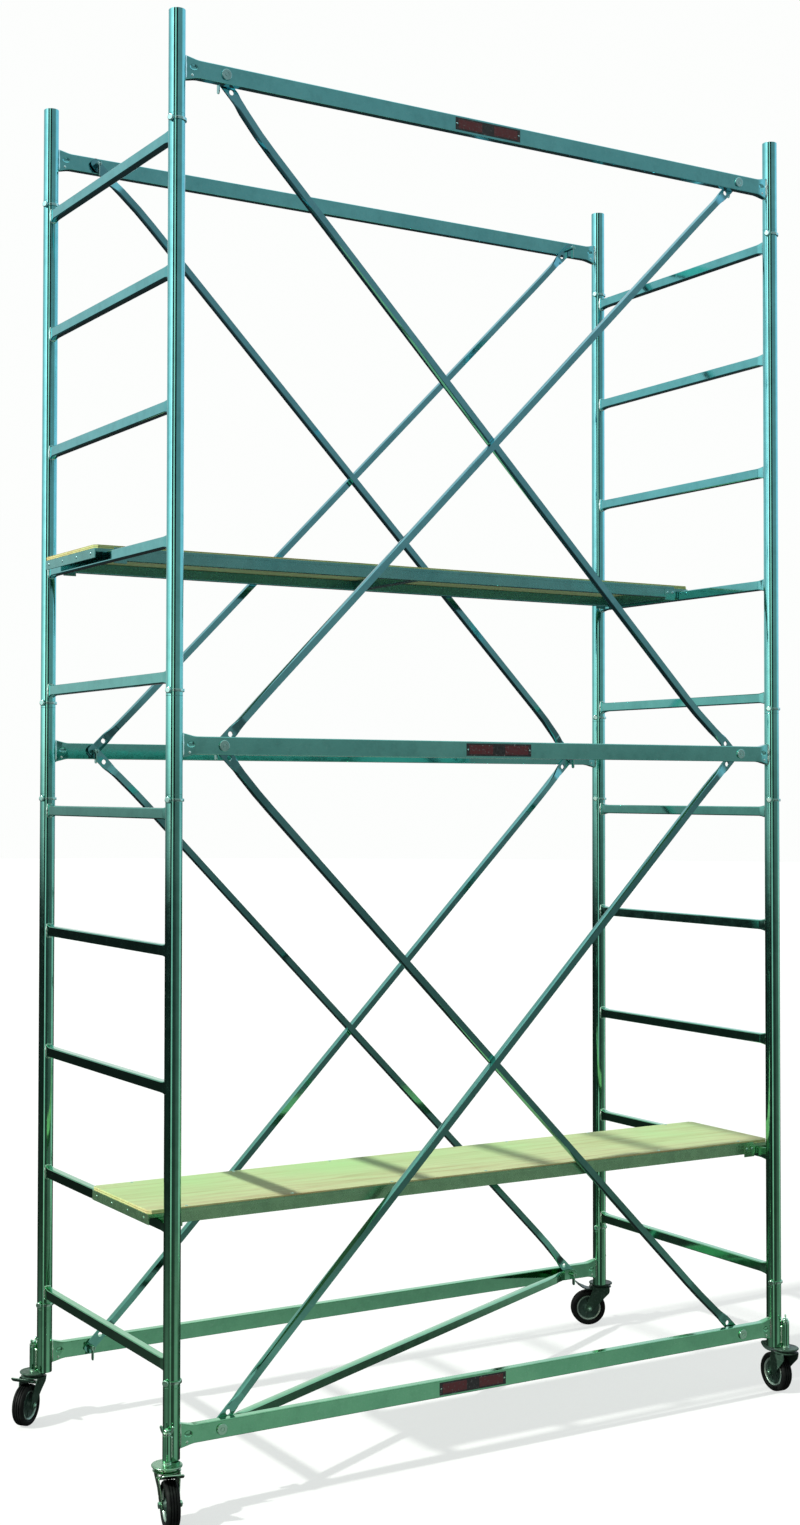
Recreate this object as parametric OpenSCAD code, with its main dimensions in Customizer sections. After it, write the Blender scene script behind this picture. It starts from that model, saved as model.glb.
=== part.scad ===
// Rolling tower scaffold with two decks: ladder frames pinned between beam frames, cross braces and
// braked swivel casters. Millimetres, +Z up, origin on the floor at the middle of the covered area.

/* [Tower] */
// Distance between leg centres along the tower
bay_length = 1750; // [1700:10:1800]
// Distance between leg centres across the tower
bay_width = 725; // [720:5:760]
// Height of the lowest beams above the floor
base_beam_z = 172; // [170:1:176]
// Height of the open leg ends above the top beams
top_post = 125; // [100:5:200]

/* [Ladders] */
// Distance from rung to rung
rung_pitch = 300; // [290:5:310]
// Rungs in each ladder frame
rung_count = 5; // [5:1:6]
// Distance from the first or last rung to the end of its ladder frame
rung_end_gap = 42; // [40:1:44]
// Height of a rung's tube
rung_h = 25; // [22:1:28]
// Width of a rung's tube
rung_t = 20; // [16:1:21]

/* [Tubes] */
// Outer diameter of the legs
leg_d = 38; // [36:1:40]
// Wall of every tube
wall = 2; // [1.5:0.5:2.5]
// Height of a beam's tube
beam_h = 40; // [36:1:44]
// Thickness of a beam's tube
beam_t = 20; // [18:1:21]
// Outer diameter of a cross brace
brace_d = 18; // [16:1:18]
// Outer diameter of the floor-level diagonal
diagonal_d = 22; // [18:1:24]

/* [Decks] */
// Width of one deck
deck_width = 305; // [280:5:305]
// Thickness of the plywood
board_t = 9; // [6:1:9]

/* [Casters] */
// Wheel diameter
wheel_d = 100; // [96:2:100]
// Tyre width
tyre_w = 30; // [26:1:30]
// Distance from the swivel axis back to the axle
caster_trail = 38; // [38:1:40]
// Which way the front left wheel trails
front_left_turn = -105; // [-180:5:180]
// Which way the front right wheel trails
front_right_turn = 85; // [-180:5:360]
// Which way the rear left wheel trails
rear_left_turn = 220; // [-180:5:360]
// Which way the rear right wheel trails
rear_right_turn = 155; // [-180:5:360]

/* [Hidden] */
CORNERS = ["front_left", "front_right", "rear_left", "rear_right"];
SIDES = ["front", "rear"];
ENDS = ["left", "right"];
LEVELS = ["base", "middle", "top"];
STAGES = ["lower", "upper"];

$fn = 48;
steel = "#5f8f86";
bright = "#c9d8d2";
dark = "#20302c";
rubber = "#15181a";
ply = "#c8c79a";

// Heights
module_height = rung_pitch * rung_count;
half_length = bay_length / 2;
half_width = bay_width / 2;
leg_r = leg_d / 2;
leg_bottom = 124;
first_rung = rung_pitch / 2;                   // from a beam's middle up to the next rung
ladder_start = first_rung - rung_end_gap;      // from a beam's middle up to the next ladder's end
pin_inset = 12;                                // from a ladder's end to the middle of its ring pin
spigot_length = 60;
spigot_d = leg_d - 2 * wall - 0.4;
spigot_wall = 2;

// Beams: their ends are pinched and spread to meet the legs
flare_h = beam_h + 14;
flare_run = 32;
pin_x = half_length - 118;
beam_face = half_width - beam_t / 2;

// Braces hang on pins behind the beams. Each layer is a distance from the beam's inner face
tab_t = 4;
tab_w = 26;
rising_tab = 3;
falling_tab = 7.5;
diagonal_tab = 12;
rising_axis = brace_d / 2 + 0.5;
falling_axis = rising_axis + brace_d + 0.5;
second_hole = 38;                              // the spare hole in each brace end
latch_pivot = 19.5;
pin_d = 12;
pin_tip = 26.5;
latch_t = 3;
rivet_d = 3;
fit = 0.05;                                    // radial clearance of a running fit
weld_gap = 0.05;                               // root gap between welded pieces

// Ring pins pass through the leg joints at a slant
ring_turn = 30;
ring_pin_d = 10;
ring_inner = leg_r + 0.5;
ring_t = 3;
ring_h = 7;

// Decks lie on the second rung of each ladder frame
deck_rung = 2;
deck_top = 30;                                 // the board's top above the rung's middle
rail_bottom = -5;
rail_w = 16;
rail_wall = 1.5;
rail_end = half_length - rung_t / 2 - 8;
saddle_end = half_length + 32;
saddle_clear = 1;
lip_t = 3;
deck_gap = 3;
member_w = 30;

// Casters hang from stub tubes welded along the legs, diagonally outside them
stub_d = 20;
stub_offset = (leg_r + stub_d / 2 + weld_gap) / sqrt(2);
stub_bottom = 128;
stub_top = 184;
stem_d = 14;
stem_top = 197;
stem_bottom = 105;
race_r = 34;
fork_top = 112;
fork_race_top = 117.6;
fork_race_r = 24;
fork_plate_r = 31;
arm_inner = 18;
arm_top = 26;                                  // the arms lean out from arm_inner to this under the plate
arm_t = 3;
axle_z = wheel_d / 2;
axle_d = 8;
hub_r = 36;
hub_w = 34;
pedal_pivot = [20, 102];
pedal_w = 52;
pedal_tip = [74, 124];
pedal_rod_d = 5;

corner_signs = [[-1, -1], [1, -1], [-1, 1], [1, 1]];
caster_turns = [front_left_turn, front_right_turn, rear_left_turn, rear_right_turn];
function caster_at(i) = [corner_signs[i].x * (half_length + stub_offset), corner_signs[i].y * (half_width + stub_offset)];
function turned(p, a) = [p.x * cos(a) - p.y * sin(a), p.x * sin(a) + p.y * cos(a)];
fork_back = -22;
fork_front = 26;
caster_outline = [
    [pedal_tip.x, pedal_w / 2], [pedal_tip.x, -pedal_w / 2],
    [caster_trail + wheel_d / 2, tyre_w / 2 - 6], [caster_trail + wheel_d / 2, 6 - tyre_w / 2],
    [caster_trail + wheel_d / 2 - 5, tyre_w / 2], [caster_trail + wheel_d / 2 - 5, -tyre_w / 2]
];
head_reach = [[race_r, 0], [-race_r, 0], [0, race_r], [0, -race_r]];
reach = [for (i = [0:3]) each concat(
    [for (p = caster_outline) caster_at(i) + turned(p, caster_turns[i])],
    [for (p = head_reach) caster_at(i) + p]
)];
// Moves the whole tower so that the origin is at the middle of the floor area it covers
centring = [
    -(min([for (p = reach) p.x]) + max([for (p = reach) p.x])) / 2,
    -(min([for (p = reach) p.y]) + max([for (p = reach) p.y])) / 2,
    0
];

function beam_z(level) = base_beam_z + level * module_height;
function rung_z(stage, k) = beam_z(stage) + first_rung + k * rung_pitch;

module placed() translate(centring) children();
module side_of(side) mirror([0, side, 0]) children();
module pipe(d, inner, h) difference() {
    cylinder(d = d, h = h);
    translate([0, 0, -1]) cylinder(d = inner, h = h + 2);
}
// A thin strip that follows a path, with rounded bends
module strip2d(path, t) {
    for (i = [0:len(path) - 2]) {
        run = path[i + 1] - path[i];
        translate(path[i]) rotate(atan2(run.y, run.x)) translate([0, -t / 2]) square([norm(run), t]);
    }
    for (p = path) translate(p) circle(d = t, $fn = 24);
}
module ring_hole(d) rotate([0, 0, ring_turn]) rotate([0, 90, 0]) cylinder(d = d, h = 3 * leg_d, center = true);

// One leg tube of a beam frame: plain, with a reduced spigot at the ends that enter a ladder frame
module frame_leg(bottom, top, spigot_down, spigot_up) {
    shoulder = 3;
    low = spigot_down ? bottom - spigot_length : bottom;
    high = spigot_up ? top + spigot_length : top;
    difference() {
        union() {
            translate([0, 0, bottom]) cylinder(d = leg_d, h = top - bottom);
            translate([0, 0, low]) cylinder(d = spigot_d, h = high - low);
        }
        translate([0, 0, low - 1]) cylinder(d = spigot_d - 2 * spigot_wall, h = high - low + 2);
        translate([0, 0, spigot_down ? bottom + shoulder : bottom - 1])
            cylinder(d = leg_d - 2 * wall, h = top - bottom + 1 - (spigot_down ? shoulder : 0)
                - (spigot_up ? 1 + shoulder : 0) + (spigot_down ? 0 : 1));
        if (spigot_down) translate([0, 0, bottom - pin_inset]) ring_hole(ring_pin_d + 0.4);
        if (spigot_up) translate([0, 0, top + pin_inset]) ring_hole(ring_pin_d + 0.4);
    }
}
module beam_outline(h, flare) {
    near = half_length - leg_r;
    right = [[near - flare_run, h / 2], [near - 4, flare / 2], [half_length, flare / 2]];
    polygon(concat(
        [for (p = right) p], [for (i = [2:-1:0]) [right[i].x, -right[i].y]],
        [for (p = right) [-p.x, -p.y]], [for (i = [2:-1:0]) [-right[i].x, right[i].y]]
    ));
}
// A rectangular beam between the legs with the brace pin's holes
module beam(z) translate([0, -half_width, z]) difference() {
    rotate([90, 0, 0]) difference() {
        linear_extrude(beam_t, center = true) beam_outline(beam_h, flare_h);
        linear_extrude(beam_t - 2 * wall, center = true) beam_outline(beam_h - 2 * wall, flare_h - 2 * wall);
    }
    for (x = [-half_length, half_length]) translate([x, 0, -beam_h])
        cylinder(r = leg_r + weld_gap, h = 2 * beam_h);
    for (x = [-pin_x, pin_x]) translate([x, 0, 0]) rotate([90, 0, 0])
        cylinder(d = pin_d + 0.4, h = 2 * beam_t, center = true);
}
// The stub tube that takes a caster's stem, welded along the leg
module stub(end) translate([end * (half_length + stub_offset), -half_width - stub_offset, stub_bottom])
    pipe(stub_d, stem_d + 0.4, stub_top - stub_bottom);
module beam_frame(level, side) color(steel) placed() side_of(side) {
    z = beam_z(level);
    bottom = level == 0 ? leg_bottom : z - ladder_start;
    top = level == 2 ? z + top_post : z + ladder_start;
    for (end = [-1, 1]) {
        translate([end * half_length, -half_width, 0]) mirror([0, side, 0])
            frame_leg(bottom, top, level > 0, level < 2);
        if (level == 0) stub(end);
    }
    beam(z);
}

// A ladder frame: two uprights and rungs whose ends are pinched and spread to meet them
module rung_outline(h, flare) {
    near = half_width - leg_r;
    right = [[near - 22, h / 2], [near - 4, flare / 2], [half_width, flare / 2]];
    polygon(concat(
        [for (p = right) p], [for (i = [2:-1:0]) [right[i].x, -right[i].y]],
        [for (p = right) [-p.x, -p.y]], [for (i = [2:-1:0]) [-right[i].x, right[i].y]]
    ));
}
module rung() difference() {
    rotate([90, 0, 90]) difference() {
        linear_extrude(rung_t, center = true) rung_outline(rung_h, rung_h + 8);
        linear_extrude(rung_t - 2 * wall, center = true) rung_outline(rung_h - 2 * wall, rung_h + 8 - 2 * wall);
    }
    for (y = [-half_width, half_width]) translate([0, y, -rung_h]) cylinder(r = leg_r + weld_gap, h = 2 * rung_h);
}
module ladder(stage, end) color(steel) placed() translate([(2 * end - 1) * half_length, 0, 0]) {
    bottom = beam_z(stage) + ladder_start;
    top = beam_z(stage + 1) - ladder_start;
    for (y = [-half_width, half_width]) translate([0, y, 0]) difference() {
        translate([0, 0, bottom]) pipe(leg_d, leg_d - 2 * wall, top - bottom);
        for (z = [bottom + pin_inset, top - pin_inset]) translate([0, 0, z]) ring_hole(ring_pin_d + 0.4);
    }
    for (k = [0:rung_count - 1]) translate([0, 0, rung_z(stage, k)]) rung();
}

// A round tube flattened at both ends. axis and tab are distances from the beam's inner face,
// and the ends step from one to the other. x runs along the brace, z towards the tower's inside
module brace_tube(length, d, tab, axis) {
    flat = 30;
    grip = 95;
    difference() {
        union() {
            translate([grip - 18, 0, axis]) rotate([0, 90, 0]) pipe(d, d - 2 * wall, length - 2 * (grip - 18));
            for (flip = [0, 1]) translate([flip * length, 0, 0]) mirror([flip, 0, 0])
                rotate([90, 0, 0]) linear_extrude(tab_w, center = true)
                    strip2d([[-16, tab], [flat, tab], [grip - 19, axis], [grip, axis]], tab_t);
        }
        for (x = [0, second_hole, length - second_hole, length])
            translate([x, 0, -1]) cylinder(d = pin_d + 0.4, h = 40);
    }
}
// rising goes from the left base up to the right, falling from the left top down to the right
module brace(stage, side, way) color(steel) placed() side_of(side) {
    start = [-pin_x, -beam_face, beam_z(way == 0 ? stage : stage + 1)];
    rise = way == 0 ? module_height : -module_height;
    length = norm([2 * pin_x, rise]);
    translate(start) rotate([0, -atan2(rise, 2 * pin_x), 0]) rotate([-90, 0, 0])
        brace_tube(length, brace_d, way == 0 ? rising_tab : falling_tab, way == 0 ? rising_axis : falling_axis);
}
// The floor-level diagonal joins the front left pin to the rear right one
module floor_diagonal() color(steel) placed() translate([0, 0, base_beam_z]) {
    kink = 28;
    grip = 70;
    y = beam_face - diagonal_tab;
    turn = atan2(2 * y, 2 * (pin_x - kink));
    length = norm([2 * y, 2 * (pin_x - kink)]);
    rotate([0, 0, turn]) rotate([0, 90, 0]) translate([0, 0, -length / 2 + grip - 16])
        pipe(diagonal_d, diagonal_d - 2 * wall, length - 2 * grip + 32);
    for (flip = [0, 180]) rotate([0, 0, flip]) difference() {
        translate([0, 0, -tab_w / 2]) linear_extrude(tab_w) strip2d([
            [-pin_x - 16, -y], [-pin_x + kink, -y],
            [-pin_x + kink + grip * cos(turn), -y + grip * sin(turn)]
        ], tab_t - 0.4);
        translate([-pin_x, -y, 0]) rotate([90, 0, 0]) cylinder(d = pin_d + 0.4, h = 12, center = true);
        rotate([0, 0, turn]) rotate([0, 90, 0]) translate([0, 0, -length / 2 + grip - 17])
            cylinder(d = diagonal_d, h = 40);
    }
}

// Brace pins: a round head outside the beam, a shank through it and a slot for the latch
module pin_places(levels = [0:2], signs = corner_signs)
    for (level = levels, s = signs) translate([s.x * pin_x, 0, beam_z(level)])
        mirror([0, s.y > 0 ? 1 : 0, 0]) translate([0, -beam_face, 0]) children();
module brace_pins() color(bright) placed() pin_places() {
    head_t = 4;
    difference() {
        rotate([-90, 0, 0]) {
            translate([0, 0, -beam_t]) cylinder(d = pin_d, h = beam_t + pin_tip);
            translate([0, 0, -beam_t - head_t]) cylinder(d = 25, h = head_t);
        }
        translate([-latch_t / 2 - 0.5, latch_pivot - 6, -pin_d]) cube([latch_t + 1, 20, 2 * pin_d]);
    }
    translate([-pin_d / 2, latch_pivot, 0]) rotate([0, 90, 0]) cylinder(d = rivet_d, h = pin_d);
}
// The flat tongue that hangs from a pin's tip and keeps the braces on
module latch(level, corner) color(bright) placed() pin_places([level], [corner_signs[corner]])
    translate([-latch_t / 2, latch_pivot, 0]) rotate([90, 0, 90]) difference() {
        union() {
            circle_end = 5;
            linear_extrude(latch_t) circle(r = circle_end);
            linear_extrude(latch_t) translate([-circle_end, -26]) square([2 * circle_end, 26]);
            linear_extrude(latch_t) translate([0, -26]) circle(r = circle_end);
        }
        translate([0, 0, -1]) cylinder(r = rivet_d / 2 + fit, h = latch_t + 2);
    }

// Ring pins and their spring clips hold the ladder frames on the spigots
module joint_places() for (level = [0:2], up = [-1, 1], s = corner_signs)
    if (level + up / 2 > -0.1 && level + up / 2 < 2.1)
        translate([s.x * half_length, s.y * half_width, beam_z(level) + up * (ladder_start + pin_inset)])
            rotate([0, 0, ring_turn]) children();
module ring_pins() color(bright) placed() joint_places() rotate([0, 90, 0]) {
    head = 7;
    translate([0, 0, -leg_r - 1]) cylinder(d = ring_pin_d, h = 2 * leg_r + 9);
    translate([0, 0, -leg_r - 1 - head]) cylinder(d = 15, h = head);
}
module ring_clips() color(steel) placed() joint_places()
    translate([0, 0, -ring_h / 2]) rotate([0, 0, 204]) rotate_extrude(angle = 138)
        translate([ring_inner, 0]) square([ring_t, ring_h]);

// Decks: steel rails, a middle member and end saddles that hook over the rungs, under a plywood board
module deck_place(stage) placed() mirror([0, stage, 0])
    translate([0, -deck_gap - deck_width, rung_z(stage, deck_rung - 1)]) children();
module hollow_bar(size, t) difference() {
    cube(size);
    translate([t, t, t]) cube(size - 2 * [t, t, t]);
}
module deck_frame(stage) color(steel) deck_place(stage) {
    board_bottom = deck_top - board_t;
    rung_top = rung_h / 2 + 0.3;
    inner = half_length - rung_t / 2 - saddle_clear;
    skirt_bottom = -2;
    for (y = [0, deck_width - rail_w]) translate([-rail_end + weld_gap, y, rail_bottom])
        hollow_bar([2 * (rail_end - weld_gap), rail_w, board_bottom - rail_bottom], rail_wall);
    translate([-member_w / 2, rail_w + weld_gap, rail_bottom])
        hollow_bar([member_w, deck_width - 2 * (rail_w + weld_gap), board_bottom - rail_bottom], rail_wall);
    for (end = [0, 1]) mirror([end, 0, 0]) translate([0, deck_width, 0]) rotate([90, 0, 0])
        linear_extrude(deck_width) polygon([
            [rail_end, rail_bottom], [inner, rail_bottom], [inner, rung_top],
            [saddle_end - lip_t, rung_top], [saddle_end - lip_t, skirt_bottom],
            [saddle_end, skirt_bottom], [saddle_end, board_bottom], [rail_end, board_bottom]
        ]);
}
module deck_board(stage) color(ply) deck_place(stage)
    translate([-saddle_end, 0, deck_top - board_t]) cube([2 * saddle_end, deck_width, board_t]);

// Casters. Each is drawn with its wheel trailing along +X, then turned on its own swivel axis
module caster_place(i) placed() translate(caster_at(i)) rotate([0, 0, caster_turns[i]]) children();
// x runs across the line from the leg to the stub tube
module each_stem() for (i = [0:3]) placed() translate(caster_at(i))
    rotate([0, 0, corner_signs[i].x == corner_signs[i].y ? -45 : 45]) children();
module caster_stems() color(bright) each_stem() {
    race_bottom = fork_race_top + 0.4;
    race_top = leg_bottom - 0.5;
    translate([0, 0, stem_bottom]) cylinder(d = stem_d, h = stem_top - stem_bottom);
    translate([0, 0, race_bottom]) cylinder(r = race_r, h = race_top - race_bottom);
    translate([0, 0, race_bottom]) cylinder(d = stub_d, h = stub_bottom - race_bottom);
    translate([0, 0, stem_bottom]) cylinder(d = 22, h = 3.5);
}
module wing_nuts() color(bright) each_stem() difference() {
    union() {
        translate([0, 0, stub_top]) cylinder(d = 20, h = 8);
        for (flip = [0, 180]) rotate([0, 0, flip]) rotate([90, 0, 0])
            translate([0, 0, -2]) linear_extrude(4) polygon([
                [8, stub_top + 1], [14, stub_top + 8], [17, stub_top + 19], [11, stub_top + 20], [7, stub_top + 7]
            ]);
    }
    translate([0, 0, stub_top - 1]) cylinder(d = stem_d, h = 40);
}
// The fork's arms hang from a round plate, lean in and run straight down past the wheel
module fork(i) color(steel) caster_place(i) difference() {
    union() {
        intersection() {
            rotate([90, 0, 0]) linear_extrude(4 * arm_top, center = true) {
                polygon([
                    [fork_back, fork_top], [fork_front, fork_top], [caster_trail + 12, axle_z + 3],
                    [caster_trail, axle_z - 12], [caster_trail - 9, axle_z - 8], [fork_back, fork_top - 16]
                ]);
                translate([caster_trail, axle_z]) circle(r = 12);
            }
            for (flip = [0, 1]) mirror([0, flip, 0]) rotate([90, 0, 90]) linear_extrude(200, center = true)
                strip2d([
                    [arm_inner + arm_t / 2, axle_z - 20], [arm_inner + arm_t / 2, axle_z + 24],
                    [arm_top - arm_t / 2, fork_top - 2]
                ], arm_t);
        }
        translate([0, 0, fork_top - 3]) cylinder(r = fork_plate_r, h = 3);
        translate([0, 0, fork_top - 1]) cylinder(r = fork_race_r, h = fork_race_top - fork_top + 1);
    }
    translate([0, 0, fork_top - 10]) cylinder(r = stem_d / 2 + fit, h = 20);
    translate([caster_trail, 0, axle_z]) rotate([90, 0, 0]) cylinder(d = axle_d, h = 60, center = true);
    translate([pedal_pivot.x, 0, pedal_pivot.y]) rotate([90, 0, 0])
        cylinder(d = pedal_rod_d + 2 * fit, h = 60, center = true);
}
module axle(i) color(bright) caster_place(i) translate([caster_trail, 0, axle_z]) rotate([90, 0, 0]) {
    cylinder(d = axle_d, h = 2 * (arm_inner + arm_t + 5), center = true);
    for (flip = [0, 1]) mirror([0, 0, flip]) translate([0, 0, arm_inner + arm_t]) cylinder(d = 15, h = 5, $fn = 6);
}
module hub(i) color(dark) caster_place(i) translate([caster_trail, 0, axle_z]) rotate([90, 0, 0])
    rotate_extrude() polygon([
        [axle_d / 2 + fit, -hub_w / 2], [11, -hub_w / 2], [13, -8], [hub_r - 4, -8], [hub_r, -tyre_w / 2 + 4],
        [hub_r, tyre_w / 2 - 4], [hub_r - 4, 8], [13, 8], [11, hub_w / 2], [axle_d / 2 + fit, hub_w / 2]
    ]);
module tyre(i) color(rubber) caster_place(i) translate([caster_trail, 0, axle_z]) rotate([90, 0, 0])
    rotate_extrude($fn = 96) polygon([
        [hub_r, -tyre_w / 2 + 4], [hub_r + 3, -tyre_w / 2], [axle_z - 5, -tyre_w / 2], [axle_z, -tyre_w / 2 + 6],
        [axle_z, tyre_w / 2 - 6], [axle_z - 5, tyre_w / 2], [hub_r + 3, tyre_w / 2], [hub_r, tyre_w / 2 - 4]
    ]);
module brake_pedal(i) color(steel) caster_place(i) {
    root_w = 2 * arm_inner - 2;
    translate([pedal_pivot.x, 0, pedal_pivot.y]) rotate([90, 0, 0]) {
        cylinder(d = 9, h = root_w, center = true);
        cylinder(d = pedal_rod_d, h = 2 * arm_top + 3, center = true);
    }
    intersection() {
        rotate([90, 0, 0]) linear_extrude(pedal_w, center = true)
            strip2d([pedal_pivot + [0, 2], [40, 105.5], [58, 112], pedal_tip - [1.5, 1.5]], 3);
        translate([0, 0, 80]) linear_extrude(70) polygon([
            [10, -root_w / 2], [36, -root_w / 2], [48, -pedal_w / 2], [100, -pedal_w / 2],
            [100, pedal_w / 2], [48, pedal_w / 2], [36, root_w / 2], [10, root_w / 2]
        ]);
    }
}

for (i = [0:2], j = [0:1]) beam_frame(i, j);
for (i = [0:1], j = [0:1]) ladder(i, j);
for (i = [0:1], j = [0:1]) brace(i, j, 0);
for (i = [0:1], j = [0:1]) brace(i, j, 1);
floor_diagonal();
brace_pins();
ring_pins();
ring_clips();
for (i = [0:2], j = [0:3]) latch(i, j);
for (i = [0:1]) deck_frame(i);
for (i = [0:1]) deck_board(i);
caster_stems();
wing_nuts();
for (i = [0:3]) fork(i);
for (i = [0:3]) tyre(i);
for (i = [0:3]) hub(i);
for (i = [0:3]) axle(i);
for (i = [0:3]) brake_pedal(i);
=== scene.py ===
import math

import bpy
from mathutils import Matrix, Vector


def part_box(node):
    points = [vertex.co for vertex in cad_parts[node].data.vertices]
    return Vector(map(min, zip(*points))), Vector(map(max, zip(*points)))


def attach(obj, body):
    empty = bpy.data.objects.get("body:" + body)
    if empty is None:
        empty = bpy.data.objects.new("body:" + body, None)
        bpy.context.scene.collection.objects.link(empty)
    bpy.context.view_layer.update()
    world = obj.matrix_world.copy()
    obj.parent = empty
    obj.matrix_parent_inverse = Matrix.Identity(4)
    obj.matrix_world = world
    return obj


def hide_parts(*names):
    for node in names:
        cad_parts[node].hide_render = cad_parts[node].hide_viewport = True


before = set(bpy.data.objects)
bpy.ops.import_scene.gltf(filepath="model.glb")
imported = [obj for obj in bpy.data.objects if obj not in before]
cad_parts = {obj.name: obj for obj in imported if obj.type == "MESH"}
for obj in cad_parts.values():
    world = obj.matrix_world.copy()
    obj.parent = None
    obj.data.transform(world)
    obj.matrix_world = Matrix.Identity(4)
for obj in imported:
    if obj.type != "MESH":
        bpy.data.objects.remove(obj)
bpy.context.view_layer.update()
bpy.ops.object.select_all(action="DESELECT")

# Rolling tower scaffold, about 1.9 m long, 0.9 m deep and 3.3 m high. Metres, +Z up, origin on the floor
# under the middle of the tower. Two storeys of ladder frames stand between three levels of beam frames.

# ---------------------------------------------------------------- Studio
# A pale floor, one soft sun from the left and a pale sky with broad soft panels, as round a studio set.
# The panels give the round tubes their light and dark stripes. The camera stands off the tower's middle.
ladder_low, ladder_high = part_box("lower_ladder_left")
LEG_R = (ladder_high.x - ladder_low.x) / 2
LEG_X = (ladder_low.x + LEG_R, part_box("lower_ladder_right")[0].x + LEG_R)
LEG_Y = (ladder_low.y + LEG_R, ladder_high.y - LEG_R)
MIDDLE = Vector(((LEG_X[0] + LEG_X[1]) / 2, (LEG_Y[0] + LEG_Y[1]) / 2, 0))

studio = bpy.context.scene
studio.view_settings.view_transform = "Standard"

camera_data = bpy.data.cameras.new("tower_camera")
camera_data.sensor_fit = "VERTICAL"
camera_data.sensor_height = 24.0
camera_data.lens = 30.28
camera_data.shift_x = 0.0656
camera_data.shift_y = -0.0134
camera_data.clip_end = 100.0
camera = bpy.data.objects.new("tower_camera", camera_data)
studio.collection.objects.link(camera)
camera.matrix_world = (
    Matrix.Translation((MIDDLE.x - 2.7213, MIDDLE.y - 4.1563, 1.5714))
    @ Matrix.Rotation(math.radians(-29.69), 4, "Z")
    @ Matrix.Rotation(math.radians(90 + 1.47), 4, "X")
    @ Matrix.Rotation(math.radians(0.14), 4, "Z")
)
studio.camera = camera

sun_data = bpy.data.lights.new("left_sun", "SUN")
sun_data.energy = 4.4
sun_data.angle = math.radians(1.6)
sun_data.color = (1.0, 0.99, 0.95)
sun = bpy.data.objects.new("left_sun", sun_data)
studio.collection.objects.link(sun)
sun.rotation_euler = Vector((1.217, 0.03, -1.0)).to_track_quat("-Z", "Y").to_euler()


def feed(tree, node, inputs):
    """Sets a node's inputs, each to a plain value or to another node's output."""
    for key, value in inputs.items():
        if isinstance(value, bpy.types.NodeSocket):
            tree.links.new(value, node.inputs[key])
        else:
            node.inputs[key].default_value = value
    return node.outputs


def node_in(tree, kind, inputs=None, **settings):
    """The outputs of a new node with the given settings and inputs."""
    node = tree.nodes.new(f"ShaderNode{kind}")
    for name, setting in settings.items():
        setattr(node, name, setting)
    return feed(tree, node, inputs or {})


def worked_out(tree, operation, *values):
    return node_in(tree, "Math", dict(enumerate(values)), operation=operation)[0]


def mixed(tree, kind, first, second, share=1.0):
    """Two colours mixed, multiplied or added."""
    inputs = {"Factor": share, "A": first, "B": second}
    return node_in(tree, "Mix", inputs, data_type="RGBA", blend_type=kind)["Result"]


def levels(tree, value, stops):
    """A value turned into colours by a ramp with the given (place, grey or colour) stops."""
    node = tree.nodes.new("ShaderNodeValToRGB")
    band = node.color_ramp.elements
    while len(band) < len(stops):
        band.new(0.5)
    for stop, (place, tone) in zip(band, stops):
        stop.position = place
        stop.color = (tone, tone, tone, 1) if isinstance(tone, float) else (*tone, 1)
    return feed(tree, node, {"Fac": value})["Color"]


def fresh_material(name):
    """A new material, its node tree and its Principled shader."""
    material = bpy.data.materials.new(name)
    material.use_nodes = True
    return material, material.node_tree, material.node_tree.nodes["Principled BSDF"]


studio.world = bpy.data.worlds.new("studio_sky")
studio.world.use_nodes = True
sky = studio.world.node_tree
sky.nodes.clear()
direction = node_in(sky, "SeparateXYZ", {0: node_in(sky, "TexCoord")["Generated"]})
heading = worked_out(sky, "ARCTAN2", direction["Y"], direction["X"])
heading = node_in(sky, "MapRange", {"Value": heading, "From Min": -math.pi, "From Max": math.pi})["Result"]
height = node_in(sky, "MapRange", {"Value": direction["Z"], "From Min": -1.0})["Result"]

# Headings run from -180 degrees at 0.0, through -Y at 0.25, +X at 0.5 and +Y at 0.75, back to -X at 1.0.
# Heights run from straight down at 0.0, through the horizon at 0.5, to straight up at 1.0.
panels = levels(sky, heading, [
    (0.0, (2.5, 2.0, 1.9)), (0.046, (2.5, 2.0, 1.9)), (0.053, 0.01), (0.102, 0.01), (0.110, (1.2, 1.1, 0.9)),
    (0.148, (1.2, 1.1, 0.9)), (0.156, 0.01), (0.205, 0.01), (0.214, 0.36), (0.37, 0.36),
    (0.41, (0.76, 0.88, 1.02)), (0.60, (0.72, 0.86, 1.05)), (0.67, 1.0), (0.74, 0.68), (0.88, 0.68),
    (0.94, (1.5, 1.4, 1.4)),
])
above_horizon = levels(sky, height, [(0.47, 0.0), (0.52, 1.0), (0.66, 1.0), (1.0, 0.55)])
walls = mixed(sky, "MULTIPLY", panels, above_horizon)
overhead = levels(sky, height, [(0.72, 0.0), (0.88, 1.0)])
upper_half = mixed(sky, "MIX", walls, (0.95, 0.98, 1.0, 1), overhead)
near_ground = levels(sky, heading, [
    (0.0, 0.25), (0.095, 0.12), (0.115, 0.42), (0.145, 0.42), (0.165, 0.06), (0.26, 0.10), (0.285, 0.46),
    (0.38, 0.48), (0.43, 0.20), (0.50, 0.03), (0.80, 0.03), (0.92, 0.20), (1.0, 0.25),
])
underfoot = levels(sky, height, [
    (0.0, 1.0), (0.36, 1.0), (0.395, 0.15), (0.47, 0.10), (0.50, 0.0), (1.0, 0.0),
])
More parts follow.
